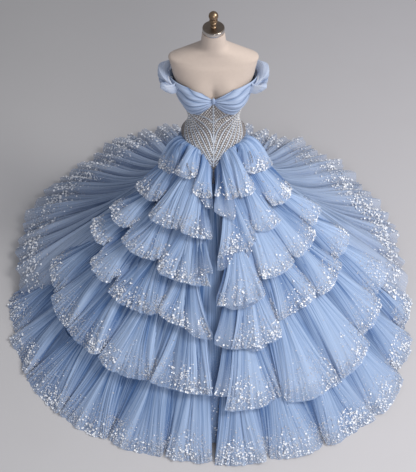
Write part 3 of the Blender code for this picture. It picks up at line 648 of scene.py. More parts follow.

# %% [markdown]
# ## Shader maths
# A finish is a small sum: a colour, times some streaks, with painted shade in the grooves. Writing that sum
# as a
# Python expression keeps it readable. Sock wraps a node's output, and every sign between two of them
# adds a Math node. Finish holds one material, and its node method adds any other node.

# %% A socket with arithmetic, and a finish
class Sock:
    """A node's output. Signs between socks and numbers add Math nodes."""

    def __init__(self, finish, output):
        self.finish = finish
        self.output = output

    def join(self, operation, first, second):
        return self.finish.node("ShaderNodeMath", {"operation": operation}, {0: first, 1: second})

    def __add__(self, other):
        return self.join("ADD", self, other)

    def __sub__(self, other):
        return self.join("SUBTRACT", self, other)

    def __rsub__(self, other):
        return self.join("SUBTRACT", other, self)

    def __mul__(self, other):
        return self.join("MULTIPLY", self, other)

    def __pow__(self, other):
        return self.join("POWER", self, other)

    def __abs__(self):
        return self.join("ABSOLUTE", self, 0.0)

    __radd__ = __add__
    __rmul__ = __mul__

    def held(self, low=0.0, high=1.0):
        """The value, kept between low and high."""
        return self.join("MINIMUM", self.join("MAXIMUM", self, low), high)

    def above(self, level, gain):
        """0 up to that level, and from there a rise to 1 that the gain makes steep or slow."""
        return ((self - level) * gain).held()


class Finish:
    """A material. Constants are set on its shader's own sockets."""

    def __init__(self, name, constants):
        self.material = bpy.data.materials.new(name)
        self.material.use_nodes = True
        self.tree = self.material.node_tree
        self.shader = self.tree.nodes["Principled BSDF"]
        for socket, value in constants.items():
            self.shader.inputs[socket].default_value = value

    def node(self, kind, settings, values, output=0):
        made = self.tree.nodes.new(kind)
        for name, value in settings.items():
            if name == "stops":
                for place, colour in value[1:-1]:
                    made.color_ramp.elements.new(place)
                for stop, (place, colour) in zip(made.color_ramp.elements, value):
                    stop.position = place
                    stop.color = (*colour, 1.0)
            else:
                setattr(made, name, value)
        for name, value in values.items():
            self.feed(made.inputs[name], value)
        return Sock(self, made.outputs[output])

    def feed(self, socket, value):
        if isinstance(value, Sock):
            self.tree.links.new(value.output, socket)
        else:
            socket.default_value = value

    def shade(self, socket, value):
        self.feed(self.shader.inputs[socket], value)

    def mix(self, factor, first, second):
        """A colour between two colours. A plain colour is three numbers."""
        first, second = (c if isinstance(c, Sock) else (*c, 1.0) for c in (first, second))
        return self.node("ShaderNodeMix", {"data_type": "RGBA", "blend_type": "MIX"},
                         {0: factor, 6: first, 7: second}, 2)

    def noise(self, vector, scale, detail=2.0, roughness=0.5):
        return self.node("ShaderNodeTexNoise", {}, {"Vector": vector, "Scale": scale, "Detail": detail,
                                                    "Roughness": roughness})

    def threads(self, across, down, detail=2.0, roughness=0.5):
        """Streaks on the flat cloth, with so many to a metre across it and down it."""
        return self.noise(self.cut(across, down), 1.0, detail, roughness)

    def creases(self, across, down):
        """Thin lines on the flat cloth, wherever the streaks cross their middle value. The tulle paints them
        darker, as painted shade of fine creases.
        """
        return 1.0 - (abs(self.threads(across, down, 1.0) - 0.5) * 7.0).held()

    def cells(self, vector, scale):
        """How far each place is from the edge of its cell."""
        return self.node("ShaderNodeTexVoronoi", {"feature": "DISTANCE_TO_EDGE"},
                         {"Vector": vector, "Scale": scale})

    def bands(self, direction, vector, scale, distortion, detail=2.0):
        return self.node("ShaderNodeTexWave", {"wave_type": "BANDS", "bands_direction": direction},
                         {"Vector": vector, "Scale": scale, "Distortion": distortion, "Detail": detail})

    def attribute(self, name):
        return self.node("ShaderNodeAttribute", {"attribute_name": name}, {}, 2)

    def by_tone(self, stops):
        """The colour that each copy's own tone picks from the stops."""
        return self.node("ShaderNodeValToRGB", {"stops": stops}, {"Fac": self.attribute("tone")})

    def cut(self, across, down):
        """Places on the flat cloth, in metres, stretched by the two scales."""
        flat = self.node("ShaderNodeUVMap", {"uv_map": "cut"}, {})
        return self.node("ShaderNodeMapping", {}, {"Vector": flat, "Scale": (across, down, 1.0)})

    def place(self):
        return self.node("ShaderNodeTexCoord", {}, {}, 3)

    def bump(self, height, strength, distance):
        made = self.node("ShaderNodeBump", {}, {"Height": height, "Strength": strength, "Distance": distance})
        self.shade("Normal", made)


print("shader tools ready")

# %% [markdown]
# ## Tulle
# Tulle is a fine net. One ply is nearly clear, but this skirt has many, so it reads as soft matt cloth.
# Its colour holds painted light and shade. It is painted pale on the ridges of the pleats, as if lit, and
# painted deeper and bluer in the grooves and in the creases between flutes. That is painted shade, and
# also the light that passes through several plies. Fine streaks and thin dark lines run down it from the
# gathers: painted shade of pleats too fine to model, strongest near the gathers. They follow the cloth's
# own cut map, so they fan out with the pleats. Near a hem the net is frosted and dusted with specks too
# small to model, and it turns slightly sheer, because only one or two plies are left.

# %% Tulle finishes
FROST = (0.405, 0.465, 0.595)
DUST = (0.55, 0.56, 0.61)


def tulle(name, pale, deep, sheer, dull=0.0, frost=FROST):
    finish = Finish(name, {"Roughness": 0.82, "Sheen Weight": 0.25, "Sheen Roughness": 0.45,
                           "Sheen Tint": (0.80, 0.88, 1.0, 1.0), "Specular IOR Level": 0.25})
    # streaks and broad are painted shade of pleats too fine to model; the broad bands are strongest near the
    # gathers.
    streaks = finish.threads(210.0, 5.0, 3.0, 0.6)
    broad = finish.threads(26.0, 1.4)
    folded = finish.creases(62.0, 1.2)
    creased = finish.creases(140.0, 1.9)
    cloudy = finish.noise(finish.place(), 5.0)
    # groove and crease are fold depths, and the colour is painted darker in them as painted shade.
    groove = finish.attribute("groove")
    crease = finish.attribute("crease")
    hem = finish.attribute("down")
    # lines are thin lines of painted shade along fine creases, strongest near the gathers.
    lines = (folded * 0.46 + creased * 0.30) * (1.15 - hem * 0.65)
    depth = (groove ** 1.5) * 0.60 + (crease ** 1.3) * 0.66 + (streaks - 0.5) * 1.1
    depth = depth + (broad - 0.5) * (2.3 - hem * 1.3)
    depth = (depth + lines + (cloudy - 0.5) * 0.30 - 0.16).held()
    # depth is the painted shade. It picks between the pale colour, painted where light strikes, and the deep
    # one, painted in shade.
    colour = finish.mix(depth, pale, deep)
    # The frost thins in the grooves, so their painted shade stays.
    frosted = hem.above(0.50, 1.8) * (0.26 + dull) * (1.40 - groove)
    colour = finish.mix(frosted, colour, frost)
    dusty = finish.noise(finish.place(), 210.0, 1.0).above(0.55, 7.0) * hem.above(0.45, 2.5)
    finish.shade("Base Color", finish.mix(dusty * 0.45, colour, DUST))
    net = finish.cells(finish.cut(1.0, 1.0), 420.0)
    finish.bump(streaks * 0.8 - lines * 1.2 + (net * 3.0).held() * 0.10, 0.50, 0.0022)
    edge = hem.above(0.84, 6.2)
    clear = (1.0 - depth) * 0.20 + edge * (sheer + (streaks - 0.5) * 0.6).held()
    finish.shade("Alpha", 1.0 - clear.held())
    return finish.material


# each finish: its pale colour, painted where the cloth is lit, and its deep one, painted in its shade, how
# clear its hem is, and how much more frost it has.
# The lowest tier's finish is painted darker than the others, as painted shade for the lower light there, and
# the ply beneath is painted darkest, as painted shade under the ply that shows
FINISHES = {
    "tier": tulle("tier_tulle", (0.48, 0.63, 0.90), (0.070, 0.150, 0.340), 0.30),
    "low_tier": tulle("shaded_low_tier_tulle", (0.43, 0.57, 0.83), (0.065, 0.140, 0.320), 0.30,
                      frost=(0.35, 0.41, 0.55)),
    "under": tulle("shaded_under_tulle", (0.32, 0.44, 0.67), (0.060, 0.120, 0.270), 0.35, 0.15),
    "train": tulle("train_tulle", (0.46, 0.59, 0.83), (0.040, 0.092, 0.220), 0.40, 0.14,
                   frost=(0.45, 0.51, 0.66)),
    "underskirt": tulle("underskirt_tulle", (0.46, 0.62, 0.92), (0.085, 0.175, 0.380), 0.0),
}
print("tulle finishes:", sorted(FINISHES))

# %% [markdown]
# ## Making a sheet
# Every sheet starts as a flat grid, as cloth does. The grid's own two directions are across and down
# the cloth, and a surface function lifts each point to its place. The flat grid is kept as the cut map,
# and the depths of the grooves and creases are kept on the points, so that the finish can follow the cut
# and paint shade by those depths.

# %% Pieces from bmesh
def as_mesh(name, shape, material=None, smooth=True):
    """The bmesh as a mesh. The bmesh is used up."""
    mesh = bpy.data.meshes.new(name)
    shape.to_mesh(mesh)
    shape.free()
    if smooth:
        mesh.shade_smooth()
    if material:
        mesh.materials.append(material)
    return mesh


def add_piece(name, mesh, node=None):
    """Puts the mesh in the scene, on the one body, in place of a node if one is named."""
    piece = bpy.data.objects.new(name, mesh)
    bpy.context.scene.collection.objects.link(piece)
    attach(piece, "root")
    if node:
        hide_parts(node)
    return piece


def set_values(mesh, name, values):
    attribute = mesh.attributes.new(name, "FLOAT", "POINT")
    attribute.data.foreach_set("value", np.ascontiguousarray(values, np.float32))


print("piece tools ready")


def make_sheet(name, grid, surface, finish, cut, node, thick=0.0):
    """grid is how many cells across and down, and cut is the width and length of the cut map.
    surface(across, down) gives points, grooves and creases."""
    shape = bmesh.new()
    bmesh.ops.create_grid(shape, x_segments=grid[0], y_segments=grid[1], size=0.5)
    mesh = as_mesh(name, shape, FINISHES[finish])
    flat = np.empty(len(mesh.vertices) * 3, np.float32)
    mesh.vertices.foreach_get("co", flat)
    flat = flat.reshape(-1, 3).astype(float)
    across, down = flat[:, 0] + 0.5, 0.5 - flat[:, 1]
    points, groove, crease = surface(across, down)
    mesh.vertices.foreach_set("co", points.astype(np.float32).ravel())
    set_values(mesh, "groove", np.broadcast_to(groove, across.shape))
    set_values(mesh, "crease", np.broadcast_to(crease, across.shape))
    set_values(mesh, "down", down)
    corners = np.empty(len(mesh.loops), np.int32)
    mesh.loops.foreach_get("vertex_index", corners)
    on_cut = np.stack([across * cut[0], -down * cut[1]], axis=-1)[corners]
    mesh.uv_layers.new(name="cut").data.foreach_set("uv", on_cut.astype(np.float32).ravel())
    mesh.update()
    sheet = add_piece(name, mesh, node)
    if thick:
        wall = sheet.modifiers.new("wall", "SOLIDIFY")
        wall.thickness = thick
        wall.offset = 1.0
    return sheet


def mirrored(side, surface):
    """The surface with across turned round on the left side, so that its faces point outwards."""
    def turned_round(across, down, *fine):
        return surface(across if side > 0.0 else 1.0 - across, down, *fine)
    return turned_round


SIDES = (("left", -1.0), ("right", 1.0))
print("sheet tools ready")

# %% The tiers
# where the ply beneath starts, as a share of the way to the hem, and how much of that way it covers
UNDER_START = 0.25
UNDER_REACH = dict(tier_1=0.96, tier_2=0.90, tier_3=0.86, tier_4=0.85, tier_5=0.82, tier_6=0.74)
# the cut map is wider than the hem's arc, as a gathered cloth is
FULLNESS = 1.45
TIER_FALL = 0.36
# cells to a pleat and rows of cells, on the ply that shows and on the one beneath
PLEAT_CELLS = (6, 4)
PLY_ROWS = (16, 9)


def tier_ply(tier, side, layer):
    """The surface function of one ply of a tier. The ply beneath starts lower."""
    def ply(across, down, fine=1.0):
        if layer:
            down = UNDER_START + UNDER_REACH[tier["name"]] * down
        return tier_surface(tier, side, across, down, layer, fine)
    return mirrored(side, ply)


for tier in TIERS:
    for word, side in SIDES:
        name = f"{tier['name']}_{word}"
        width = math.radians(tier_folds(tier, side)[-1]) * tier["hem_radius"] * FULLNESS
        top_finish = "low_tier" if tier is TIERS[-1] else "tier"
        for layer, ply_name, finish, node in ((0, f"{name}_cloth", top_finish, name),
                                              (1, f"{name}_under_cloth", "under", None)):
            columns = int(PLEAT_CELLS[layer] * width / FULLNESS / PLEAT_WIDTH[layer])
            make_sheet(ply_name, (columns, PLY_ROWS[layer]), tier_ply(tier, side, layer), finish,
                       (width, TIER_FALL), node)
    print(tier["name"], "made")

# %% The underskirt and the train
GORE_CELLS = (276, 34)
UNDERSKIRT_CELLS = (420, 24)


def gore_ply(side, gore):
    def ply(across, down, fine=1.0):
        return train_surface(side, gore, across, down, fine)
    return mirrored(side, ply)


underskirt = make_sheet("underskirt_cloth", UNDERSKIRT_CELLS, underskirt_surface, "underskirt", (2.6, 1.05),
                        "underskirt_front")
for word, side in SIDES:
    for gore in TRAIN_GORES:
        name = f"train_{gore[0]}_{word}"
        make_sheet(f"{name}_cloth", GORE_CELLS, gore_ply(side, gore), "train", (2.0, 1.55), name)
print("underskirt faces:", len(underskirt.data.polygons), "gores:", 2 * len(TRAIN_GORES))

# %% [markdown]
# ## The bodice
# The bust band is one length of chiffon, gathered hard into a small loop between the cups. Its folds
# start close together there and open like a fan towards the sides, where a second, finer set crosses
# them. The off-shoulder bands are loose tubes of a sheerer cloth, caught at both ends and twisted a
# little between, with a notch near the front where each is drawn together.

# %% Bust band and back band
# angles of the loop's edge and of the side
BAND_START = 2.2
BAND_SIDE = 93.0
# the fold that stays level, as a share of the way down
FAN_CENTRE = 0.44
BAND_FOLDS = 6.2
FINE_BAND_FOLDS = 9.3


def band_surface(side, start, end, across, down):
    angle = side * (start + across * (end - start))
    away = np.abs(angle)
    top, bottom, puff = drape_edges(angle)
    height = top + down * (bottom - top)
    near_knot = 1.0 - ease(away, 12.0, 70.0)
    lines = 0.30 * wander(3.0 * down + 0.02 * away, 2.0 + side) * ease(away, 10.0, 60.0)
    fanned = FAN_CENTRE + (down - FAN_CENTRE) * (1.0 - 0.46 * ease(away, 8.0, 66.0))
    wave = BAND_FOLDS * np.clip(fanned, 0.0, 1.0) ** 0.9
    wave = wave + 0.30 * np.sin(math.pi * down) * ease(away, 4.0, 60.0) + lines + 0.25 * side
    ridge = np.abs(np.sin(math.pi * wave)) ** 0.65
    fine = np.sin(2.0 * math.pi * (FINE_BAND_FOLDS * down - 0.008 * away + 0.4 * lines) + 2.0 * side)
    size = (0.0050 + 0.0046 * near_knot) * (0.75 + 0.25 * uneven(np.floor(wave), 3.0 + side))
    size = size * ease(away, 1.0, 10.0) + 0.0010
    gathers = size * (ridge - 0.5) + 0.0010 * fine * (0.5 + near_knot)
    round_edge = np.clip(np.sin(math.pi * np.clip(down, 0.0, 1.0)), 0.0, 1.0)
    roll = 0.0035 * np.exp(-((down - 0.10) / 0.10) ** 2) * ease(away, 8.0, 40.0)
    radius = form_radius(angle, height) + DRAPE_CLEARANCE + puff * round_edge ** 0.6 + gathers + roll + 0.0020
    # The crease value paints the cloth darker towards the loop, as painted shade where the gathers crowd.
    return on_circle(angle, radius, height), 1.0 - ridge, 0.35 * near_knot


def front_band(side):
    def band(across, down):
        return band_surface(side, BAND_START, BAND_SIDE, across, down)
    return mirrored(side, band)


def back_band(across, down):
    return band_surface(1.0, BAND_SIDE, 360.0 - BAND_SIDE, across, down)


print("band's folds at the loop:", BAND_FOLDS)

# %% Off-shoulder bands
SLEEVE_FOLDS = 4.1
NOTCH_WIDTH = 0.045
NOTCH_DROP = 0.016
# the folds turn round this place at the band's front end, as a share of the way down
TWIST_CENTRE = 0.10


def between(start, end, share):
    return start + share * (end - start)


def sleeve_surface(across, down):
    """Points of the right off-shoulder band, and their groove and crease depths."""
    front_angle, front_height, low_front_angle, low_front_height = SLEEVE_FRONT
    back_angle, back_height, low_back_angle, low_back_height = SLEEVE_BACK
    angle = between(between(front_angle, low_front_angle, down),
                    between(back_angle, low_back_angle, down), across)
    end_height = between(between(front_height, low_front_height, down),
                         between(back_height, low_back_height, down), across)
    stops = np.linspace(0.0, 1.0, len(SLEEVE_SECTION))
    middle_radius = through(stops, [row[0] for row in SLEEVE_SECTION], down)
    middle_height = through(stops, [row[1] for row in SLEEVE_SECTION], down)
    swing = np.sin(math.pi * across)
    height = end_height + (middle_height - end_height) * swing ** 0.7
    at_loop = across + (1.0 - ease(down, 0.0, 0.50)) * SLEEVE_NOTCH * (1.0 - across)
    notch = np.exp(-((at_loop - SLEEVE_NOTCH) / NOTCH_WIDTH) ** 2) * ease(across, 0.0, 0.04)
    height = height - NOTCH_DROP * notch * (1.0 - 0.5 * down)
    top, bottom, puff = drape_edges(angle)
    at = np.clip((top - height) / (top - bottom), 0.0, 1.0)
    end_radius = form_radius(angle, height) + DRAPE_CLEARANCE + puff * np.sin(math.pi * at) ** 0.7 + 0.0048
    reach = read_table(SLEEVE_REACH, at_loop, 1) * ease(across, -0.02, 0.05) * (1.0 - 0.12 * notch)
    radius = end_radius + (middle_radius - end_radius) * reach

    turn = np.arctan2(down - TWIST_CENTRE, 1.5 * across + 0.05)
    far = np.minimum(1.0, 1.8 * np.hypot(down - TWIST_CENTRE, across))
    ridge = np.abs(np.sin(SLEEVE_FOLDS * turn + 0.9 * across)) ** 0.7
    small = wander(5.0 * turn + 1.2 * across, 4.0) + 0.6 * wander(13.0 * turn, 6.0)
    gathers = (0.0008 + 0.0082 * swing * far) * (ridge - 0.55) + 0.0028 * small * (0.3 + far)
    gathers = gathers * (1.0 - 0.6 * notch)
    points = on_circle(angle, radius + gathers, height + 0.5 * gathers)
    # The crease value paints the notch darker, as painted shade where the band is drawn together.
    return points, 1.0 - ridge, np.clip(0.1 + 0.9 * notch, 0.0, 1.0)


def sleeve(side):
    def band(across, down):
        points, groove, crease = sleeve_surface(across, down)
        return points * (side, 1.0, 1.0), groove, crease
    return mirrored(side, band)


print("off-shoulder band's middle:", sleeve_surface(np.array([0.5]), np.array([0.5]))[0].round(3).tolist())

# %% Chiffon, and the bands' sheets
CHIFFON_WALL = 0.0012


def chiffon(name, sheer, pale, deep):
    finish = Finish(name, {"Roughness": 0.62, "Sheen Weight": 0.35, "Sheen Roughness": 0.35,
                           "Sheen Tint": (0.85, 0.92, 1.0, 1.0), "Specular IOR Level": 0.35})
    threads = finish.threads(10.0, 260.0)
    soft = finish.noise(finish.place(), 16.0)
    groove = finish.attribute("groove")
    crease = finish.attribute("crease")
    # The colour is painted deeper in the grooves of the folds and where crease is set, near the loop and the
    # notch, as painted shade.
    depth = (groove ** 1.3) * 0.85 + crease * 0.25 + (threads - 0.5) * 0.7 + (soft - 0.5) * 0.25
    depth = depth.held()
    finish.shade("Base Color", finish.mix(depth, pale, deep))
    weave = finish.noise(finish.place(), 900.0, 1.0)
    finish.bump(threads * 0.6 + weave * 0.15, 0.25, 0.001)
    if sheer:
        finish.shade("Alpha", 1.0 - sheer * (1.3 - depth * 1.8 + (threads - 0.5) * 1.2).held())
    return finish.material


FINISHES["chiffon"] = chiffon("bust_chiffon", 0.0, (0.40, 0.49, 0.67), (0.07, 0.13, 0.27))
FINISHES["organza"] = chiffon("sleeve_organza", 0.34, (0.59, 0.68, 0.86), (0.14, 0.195, 0.325))
for word, side in SIDES:
    make_sheet(f"bust_band_{word}", (110, 84), front_band(side), "chiffon", (0.26, 0.24),
               f"bust_drape_{word}", CHIFFON_WALL)
make_sheet("back_band", (120, 60), back_band, "chiffon", (0.42, 0.17), "back_drape", CHIFFON_WALL)
for word, side in SIDES:
    make_sheet(f"off_shoulder_band_{word}", (120, 80), sleeve(side), "organza", (0.34, 0.22),
               f"sleeve_{word}")
print("bands made, in", FINISHES["chiffon"].name, "and", FINISHES["organza"].name)

# %% [markdown]
# ## The corset
# The corset is a smooth nude shell under a silver net of beads. Its three panels follow the form, with
# a seam at each side and one at centre back. The beading is laid over it afterwards: ribs of bugle beads
# that sweep from behind the waist down to the point, upright ribs at the back, pearls between them, and
# a dark beaded edge.

# %% The corset's panels
CORSET_LIFT = FORM_CLEARANCE + 0.0008
CORSET_WALL = 0.0014
CORSET_UNDER_DRAPE = 0.022


def corset_point(angle, height, off=0.0):
    """Points on the outside of the corset's wall, or that far off it."""
    return on_circle(angle, form_radius(angle, height) + CORSET_LIFT + CORSET_WALL + off, height)


def corset_panel(start, end):
    def panel(across, down):
        angle = start + across * (end - start)
        top = drape_edges(angle)[1] + CORSET_UNDER_DRAPE
        height = top + down * (seam_height(angle) - top)
        return on_circle(angle, form_radius(angle, height) + CORSET_LIFT, height), 0.0, 0.0
    return panel


def corset_net():
    finish = Finish("corset_net", {"Roughness": 0.48, "Specular IOR Level": 0.5})
    place = finish.place()
    net = 1.0 - (finish.cells(place, 230.0) * 6.0).held()
    cloudy = finish.noise(place, 30.0, 3.0)
    glints = finish.noise(place, 420.0, 1.0).above(0.55, 6.0)
    colour = finish.mix((cloudy * 0.9).held(), (0.34, 0.29, 0.265), (0.15, 0.135, 0.135))
    colour = finish.mix(net * 0.20, colour, (0.34, 0.34, 0.35))
    colour = finish.mix(glints * 0.35, colour, (0.60, 0.60, 0.62))
    finish.shade("Base Color", colour)
    finish.shade("Metallic", net * 0.4 + glints * 0.3)
    finish.bump(net * 0.6 + glints, 0.5, 0.0008)
    return finish.material


FINISHES["corset"] = corset_net()
for name, node, start, end, columns in (
        ("corset_front_net", "corset_front", -90.0, 90.0, 120),
        ("corset_back_net_right", "corset_back_right", 90.05, 179.9, 60),
        ("corset_back_net_left", "corset_back_left", 180.1, 269.95, 60)):
    make_sheet(name, (columns, 60), corset_panel(start, end), "corset", (0.4, 0.3), node,
               CORSET_WALL)
print("corset panels made")

# %% [markdown]
# ## Many small things
# Beads and sequins come in thousands. Each kind is modelled once, in bmesh, and copied by arithmetic on
# arrays: every copy gets a place, a direction that it faces, a direction that it lies along, and sizes.
# The copies are joined into one mesh, which renders and exports far faster than thousands of objects.

# %% Copies of a small shape as one mesh
rng = np.random.default_rng(7)


def as_arrays(shape):
    """The points and triangles of a bmesh. The bmesh is used up."""
    shape.verts.index_update()
    points = np.array([vertex.co for vertex in shape.verts])
    corners = np.array([[vertex.index for vertex in face.verts] for face in shape.faces])
    shape.free()
    return points, corners


def small_shape(make, **sizes):
    """The points and triangles of one bmesh primitive."""
    shape = bmesh.new()
    make(shape, **sizes)
    bmesh.ops.triangulate(shape, faces=shape.faces)
    return as_arrays(shape)


def unit(vectors):
    return vectors / np.maximum(np.linalg.norm(vectors, axis=1, keepdims=True), 1e-12)


def join_copies(name, shape, places, facing, sizes, material, along=None, low_tone=0.0, smooth=True):
    """One piece of copies of a shape. Each copy's x lies along and its z is the way it faces. Copies
    with no along are turned at random, and every copy has a random tone from low_tone to 1."""
    count = len(places)
    if along is None:
        along = rng.normal(size=(count, 3))
    tone = low_tone + (1.0 - low_tone) * rng.random(count)
    if sizes.ndim == 1:
        sizes = sizes[:, None] * np.ones(3)
    points, corners = shape
    z = unit(facing)
    x = unit(along - z * np.sum(along * z, axis=1, keepdims=True))
    y = np.cross(z, x)
    made = sum(points[None, :, k, None] * sizes[:, None, k, None] * axis[:, None, :]
               for k, axis in enumerate((x, y, z)))
    made = (made + places[:, None, :]).reshape(-1, 3)
    faces = (corners[None] + (np.arange(count) * len(points))[:, None, None]).reshape(-1, 3)
    mesh = bpy.data.meshes.new(name)
    mesh.from_pydata(made.tolist(), [], faces.tolist())
    set_values(mesh, "tone", np.repeat(tone, len(points)))
    mesh.update()
    if smooth:
        mesh.shade_smooth()
    mesh.materials.append(material)
    print(name, "copies:", count, "triangles:", len(faces))
    return add_piece(name, mesh)


# %% Bead finishes
def bead_finish(name, low, middle, high, roughness, metallic, coat, middle_at=0.5):
    finish = Finish(name, {"Roughness": roughness, "Metallic": metallic, "Coat Weight": coat,
                           "Coat Roughness": 0.15})
    colour = finish.by_tone([(0.0, low), (middle_at, middle), (1.0, high)])
    speck = finish.noise(finish.place(), 700.0, 1.0)
    finish.shade("Base Color", finish.mix((speck * 0.5).held(), colour, (0.30, 0.31, 0.34)))
    finish.shade("Roughness", speck * 0.2 + (roughness - 0.1))
    return finish.material


silver = bead_finish("silver_bugle", (0.46, 0.51, 0.61), (0.66, 0.72, 0.83), (0.93, 0.96, 1.0),
                     0.34, 0.15, 0.5)
pearl = bead_finish("pearl", (0.72, 0.66, 0.60), (0.88, 0.84, 0.80), (0.97, 0.96, 0.97), 0.22, 0.0, 0.7)
dark_bead = bead_finish("dark_bead", (0.10, 0.09, 0.10), (0.26, 0.24, 0.25), (0.62, 0.62, 0.66),
                        0.28, 0.5, 0.5, middle_at=0.6)
print("bead finishes:", silver.name, pearl.name, dark_bead.name)

# %% Curves of beads on the corset
def form_normal(angle, height):
    """The way the corset faces, from two short steps on it."""
    right = corset_point(angle + 0.2, height) - corset_point(angle - 0.2, height)
    up = corset_point(angle, height + 0.001) - corset_point(angle, height - 0.001)
    return unit(np.cross(right, up))


def bead_line(angles, heights, pitch):
    """Evenly spaced places on the corset along a smooth line through a few points."""
    fine = np.linspace(0.0, 1.0, 400)
    stops = np.linspace(0.0, 1.0, len(angles))
    angle, height = through(stops, angles, fine), through(stops, heights, fine)
    steps = np.linalg.norm(np.diff(corset_point(angle, height), axis=0), axis=1)
    length = np.concatenate([[0.0], np.cumsum(steps)])
    at = np.arange(0.5 * pitch, length[-1], pitch)
    angle, height = np.interp(at, length, angle), np.interp(at, length, height)
    return angle, height, np.gradient(corset_point(angle, height), axis=0)


def all_beads(curves, pitch):
    """Angles, heights and directions of the beads on every curve."""
    lines = [bead_line(angles, heights, pitch) for angles, heights in curves]
    return [np.concatenate([line[column] for line in lines]) for column in range(3)]


normal = form_normal(np.array([0.0]), np.array([1.1]))
print("the corset's front faces:", normal.round(2).tolist())

# %% Ribs, and the lines of pearls between them
# each rib: angles from behind the side of the waist to the point, then heights
RIBS = [(np.array(angles), np.array(heights)) for angles, heights in (
    ((114.0, 88.0, 56.0, 26.0, 9.0, 1.6), (1.160, 1.146, 1.138, 1.096, 1.040, 0.990)),
    ((114.0, 88.0, 60.0, 32.0, 13.0, 1.8), (1.142, 1.124, 1.108, 1.056, 1.000, 0.940)),
    ((114.0, 90.0, 64.0, 38.0, 17.0, 2.0), (1.122, 1.104, 1.084, 1.030, 0.972, 0.902)),
    ((114.0, 92.0, 68.0, 43.0, 21.0, 2.6), (1.100, 1.082, 1.062, 1.010, 0.952, 0.880)),
    ((114.0, 94.0, 72.0, 49.0, 26.0, 4.0), (1.076, 1.058, 1.038, 0.994, 0.940, 0.870)),
    ((114.0, 96.0, 78.0, 56.0, 31.0, 6.0), (1.048, 1.032, 1.012, 0.980, 0.930, 0.872)),
    ((114.0, 98.0, 82.0, 62.0, 36.0, 9.0), (1.018, 1.004, 0.990, 0.968, 0.932, 0.886)),
)]
ARCH = (np.array((60.0, 32.0, 13.0, 2.0)), np.array((1.158, 1.158, 1.136, 1.108)))
# the straight rib at centre front
BUSK = (np.zeros(5), np.linspace(1.235, 0.862, 5))
# angles of the upright ribs behind
BACK_RIBS = (126.0, 136.0, 146.0, 156.0, 166.0, 176.0)
BACK_RIB_FOOT = 0.962
BACK_RIB_BOW = 10.0 * np.array([0.0, 0.5, 0.7, 0.4, 0.0])
BACK_PEARLS_IN = 6.0
ribs, pearls_at = [], []
for word, side in SIDES:
    ribs += [(side * angles, heights) for angles, heights in [ARCH] + RIBS]
    for first, second in zip(RIBS, RIBS[1:]):
        pearls_at.append((side * 0.5 * (first[0] + second[0]), 0.5 * (first[1] + second[1])))
ribs.append(BUSK)
for turn in BACK_RIBS:
    heights = np.linspace(1.172 + 0.010 * (turn - 126.0) / 50.0, BACK_RIB_FOOT, 5)
    for word, side in SIDES:
        ribs.append((side * (turn - BACK_RIB_BOW), heights))
        pearls_at.append((side * (turn - BACK_PEARLS_IN - BACK_RIB_BOW), heights))
print("ribs:", len(ribs), "lines of pearls:", len(pearls_at))

# %% Bugle beads along the ribs
BUGLE_PITCH = 0.0023
BUGLE_HALF_SIZES = (0.0036, 0.0013, 0.0016)
BUGLE_LENGTH_SPREAD = 0.0007
upright, corners = small_shape(bmesh.ops.create_cone, segments=6, radius1=1.0, radius2=1.0, depth=2.0,
                               cap_ends=True)
bugle = (upright[:, [2, 0, 1]], corners)
angle, height, ahead = all_beads(ribs, BUGLE_PITCH)
count = len(angle)
sizes = np.tile(BUGLE_HALF_SIZES, (count, 1))
sizes[:, 0] += BUGLE_LENGTH_SPREAD * rng.random(count)
facing = form_normal(angle, height)
join_copies("corset_bugle_beads", bugle, corset_point(angle, height, 0.0014), facing, sizes, silver,
            along=np.cross(facing, ahead))

# %% Pearls between the ribs, and a lattice of them above
PEARL_PITCH = 0.0112
LOWEST_PEARL = 0.905
LATTICE_TURN = 5.6
LATTICE_RISE = 0.0125
RIB_CLEARANCE = 0.007


def rib_height(rib, angle):
    return through(rib[0][::-1], rib[1][::-1], np.abs(angle))


angle, height, ahead = all_beads(pearls_at, PEARL_PITCH)
high_enough = height > LOWEST_PEARL
lattice_angle, lattice_height = np.meshgrid(np.arange(-48.0, 48.1, LATTICE_TURN),
                                            np.arange(1.040, 1.230, LATTICE_RISE))
shifted_row = (np.arange(len(lattice_angle)) % 2)[:, None]
lattice_angle = lattice_angle + 0.5 * LATTICE_TURN * shifted_row
from_ribs = [np.abs(lattice_height - rib_height(rib, lattice_angle)) for rib in (ARCH, RIBS[0])]
inside = (np.minimum(*from_ribs) > RIB_CLEARANCE) & (np.abs(lattice_angle) > 2.2)
inside &= lattice_height > rib_height(RIBS[0], lattice_angle)
angle = np.concatenate([angle[high_enough], lattice_angle[inside]])
height = np.concatenate([height[high_enough], lattice_height[inside]])
ball = small_shape(bmesh.ops.create_icosphere, subdivisions=2, radius=1.0)
join_copies("corset_pearls", ball, corset_point(angle, height, 0.0016), form_normal(angle, height),
            0.0028 + 0.0010 * rng.random(len(angle)), pearl)

# %% Seed beads along the edge and over the net
EDGE_BEADS = 260
EDGE_ROWS = (0.0016, 0.0062)
SPECKS = 1500
edge_angle = np.concatenate([np.linspace(-179.0, 179.0, EDGE_BEADS)] * 2)
edge_height = seam_height(edge_angle) + np.repeat(EDGE_ROWS, EDGE_BEADS) + 0.0016 * np.sin(edge_angle * 0.9)
speck_angle = rng.uniform(-179.0, 179.0, SPECKS)
speck_height = seam_height(speck_angle) + rng.uniform(0.002, 0.24, SPECKS)
shown = speck_height < drape_edges(speck_angle)[1] + 0.004
angle = np.concatenate([edge_angle, speck_angle[shown]])
height = np.concatenate([edge_height, speck_height[shown]])
sizes = np.concatenate([np.full(2 * EDGE_BEADS, 0.0025), 0.0007 + 0.0007 * rng.random(np.sum(shown))])
seed = small_shape(bmesh.ops.create_icosphere, subdivisions=1, radius=1.0)
join_copies("corset_seed_beads", seed, corset_point(angle, height, 0.0008), form_normal(angle, height), sizes,
            dark_bead)

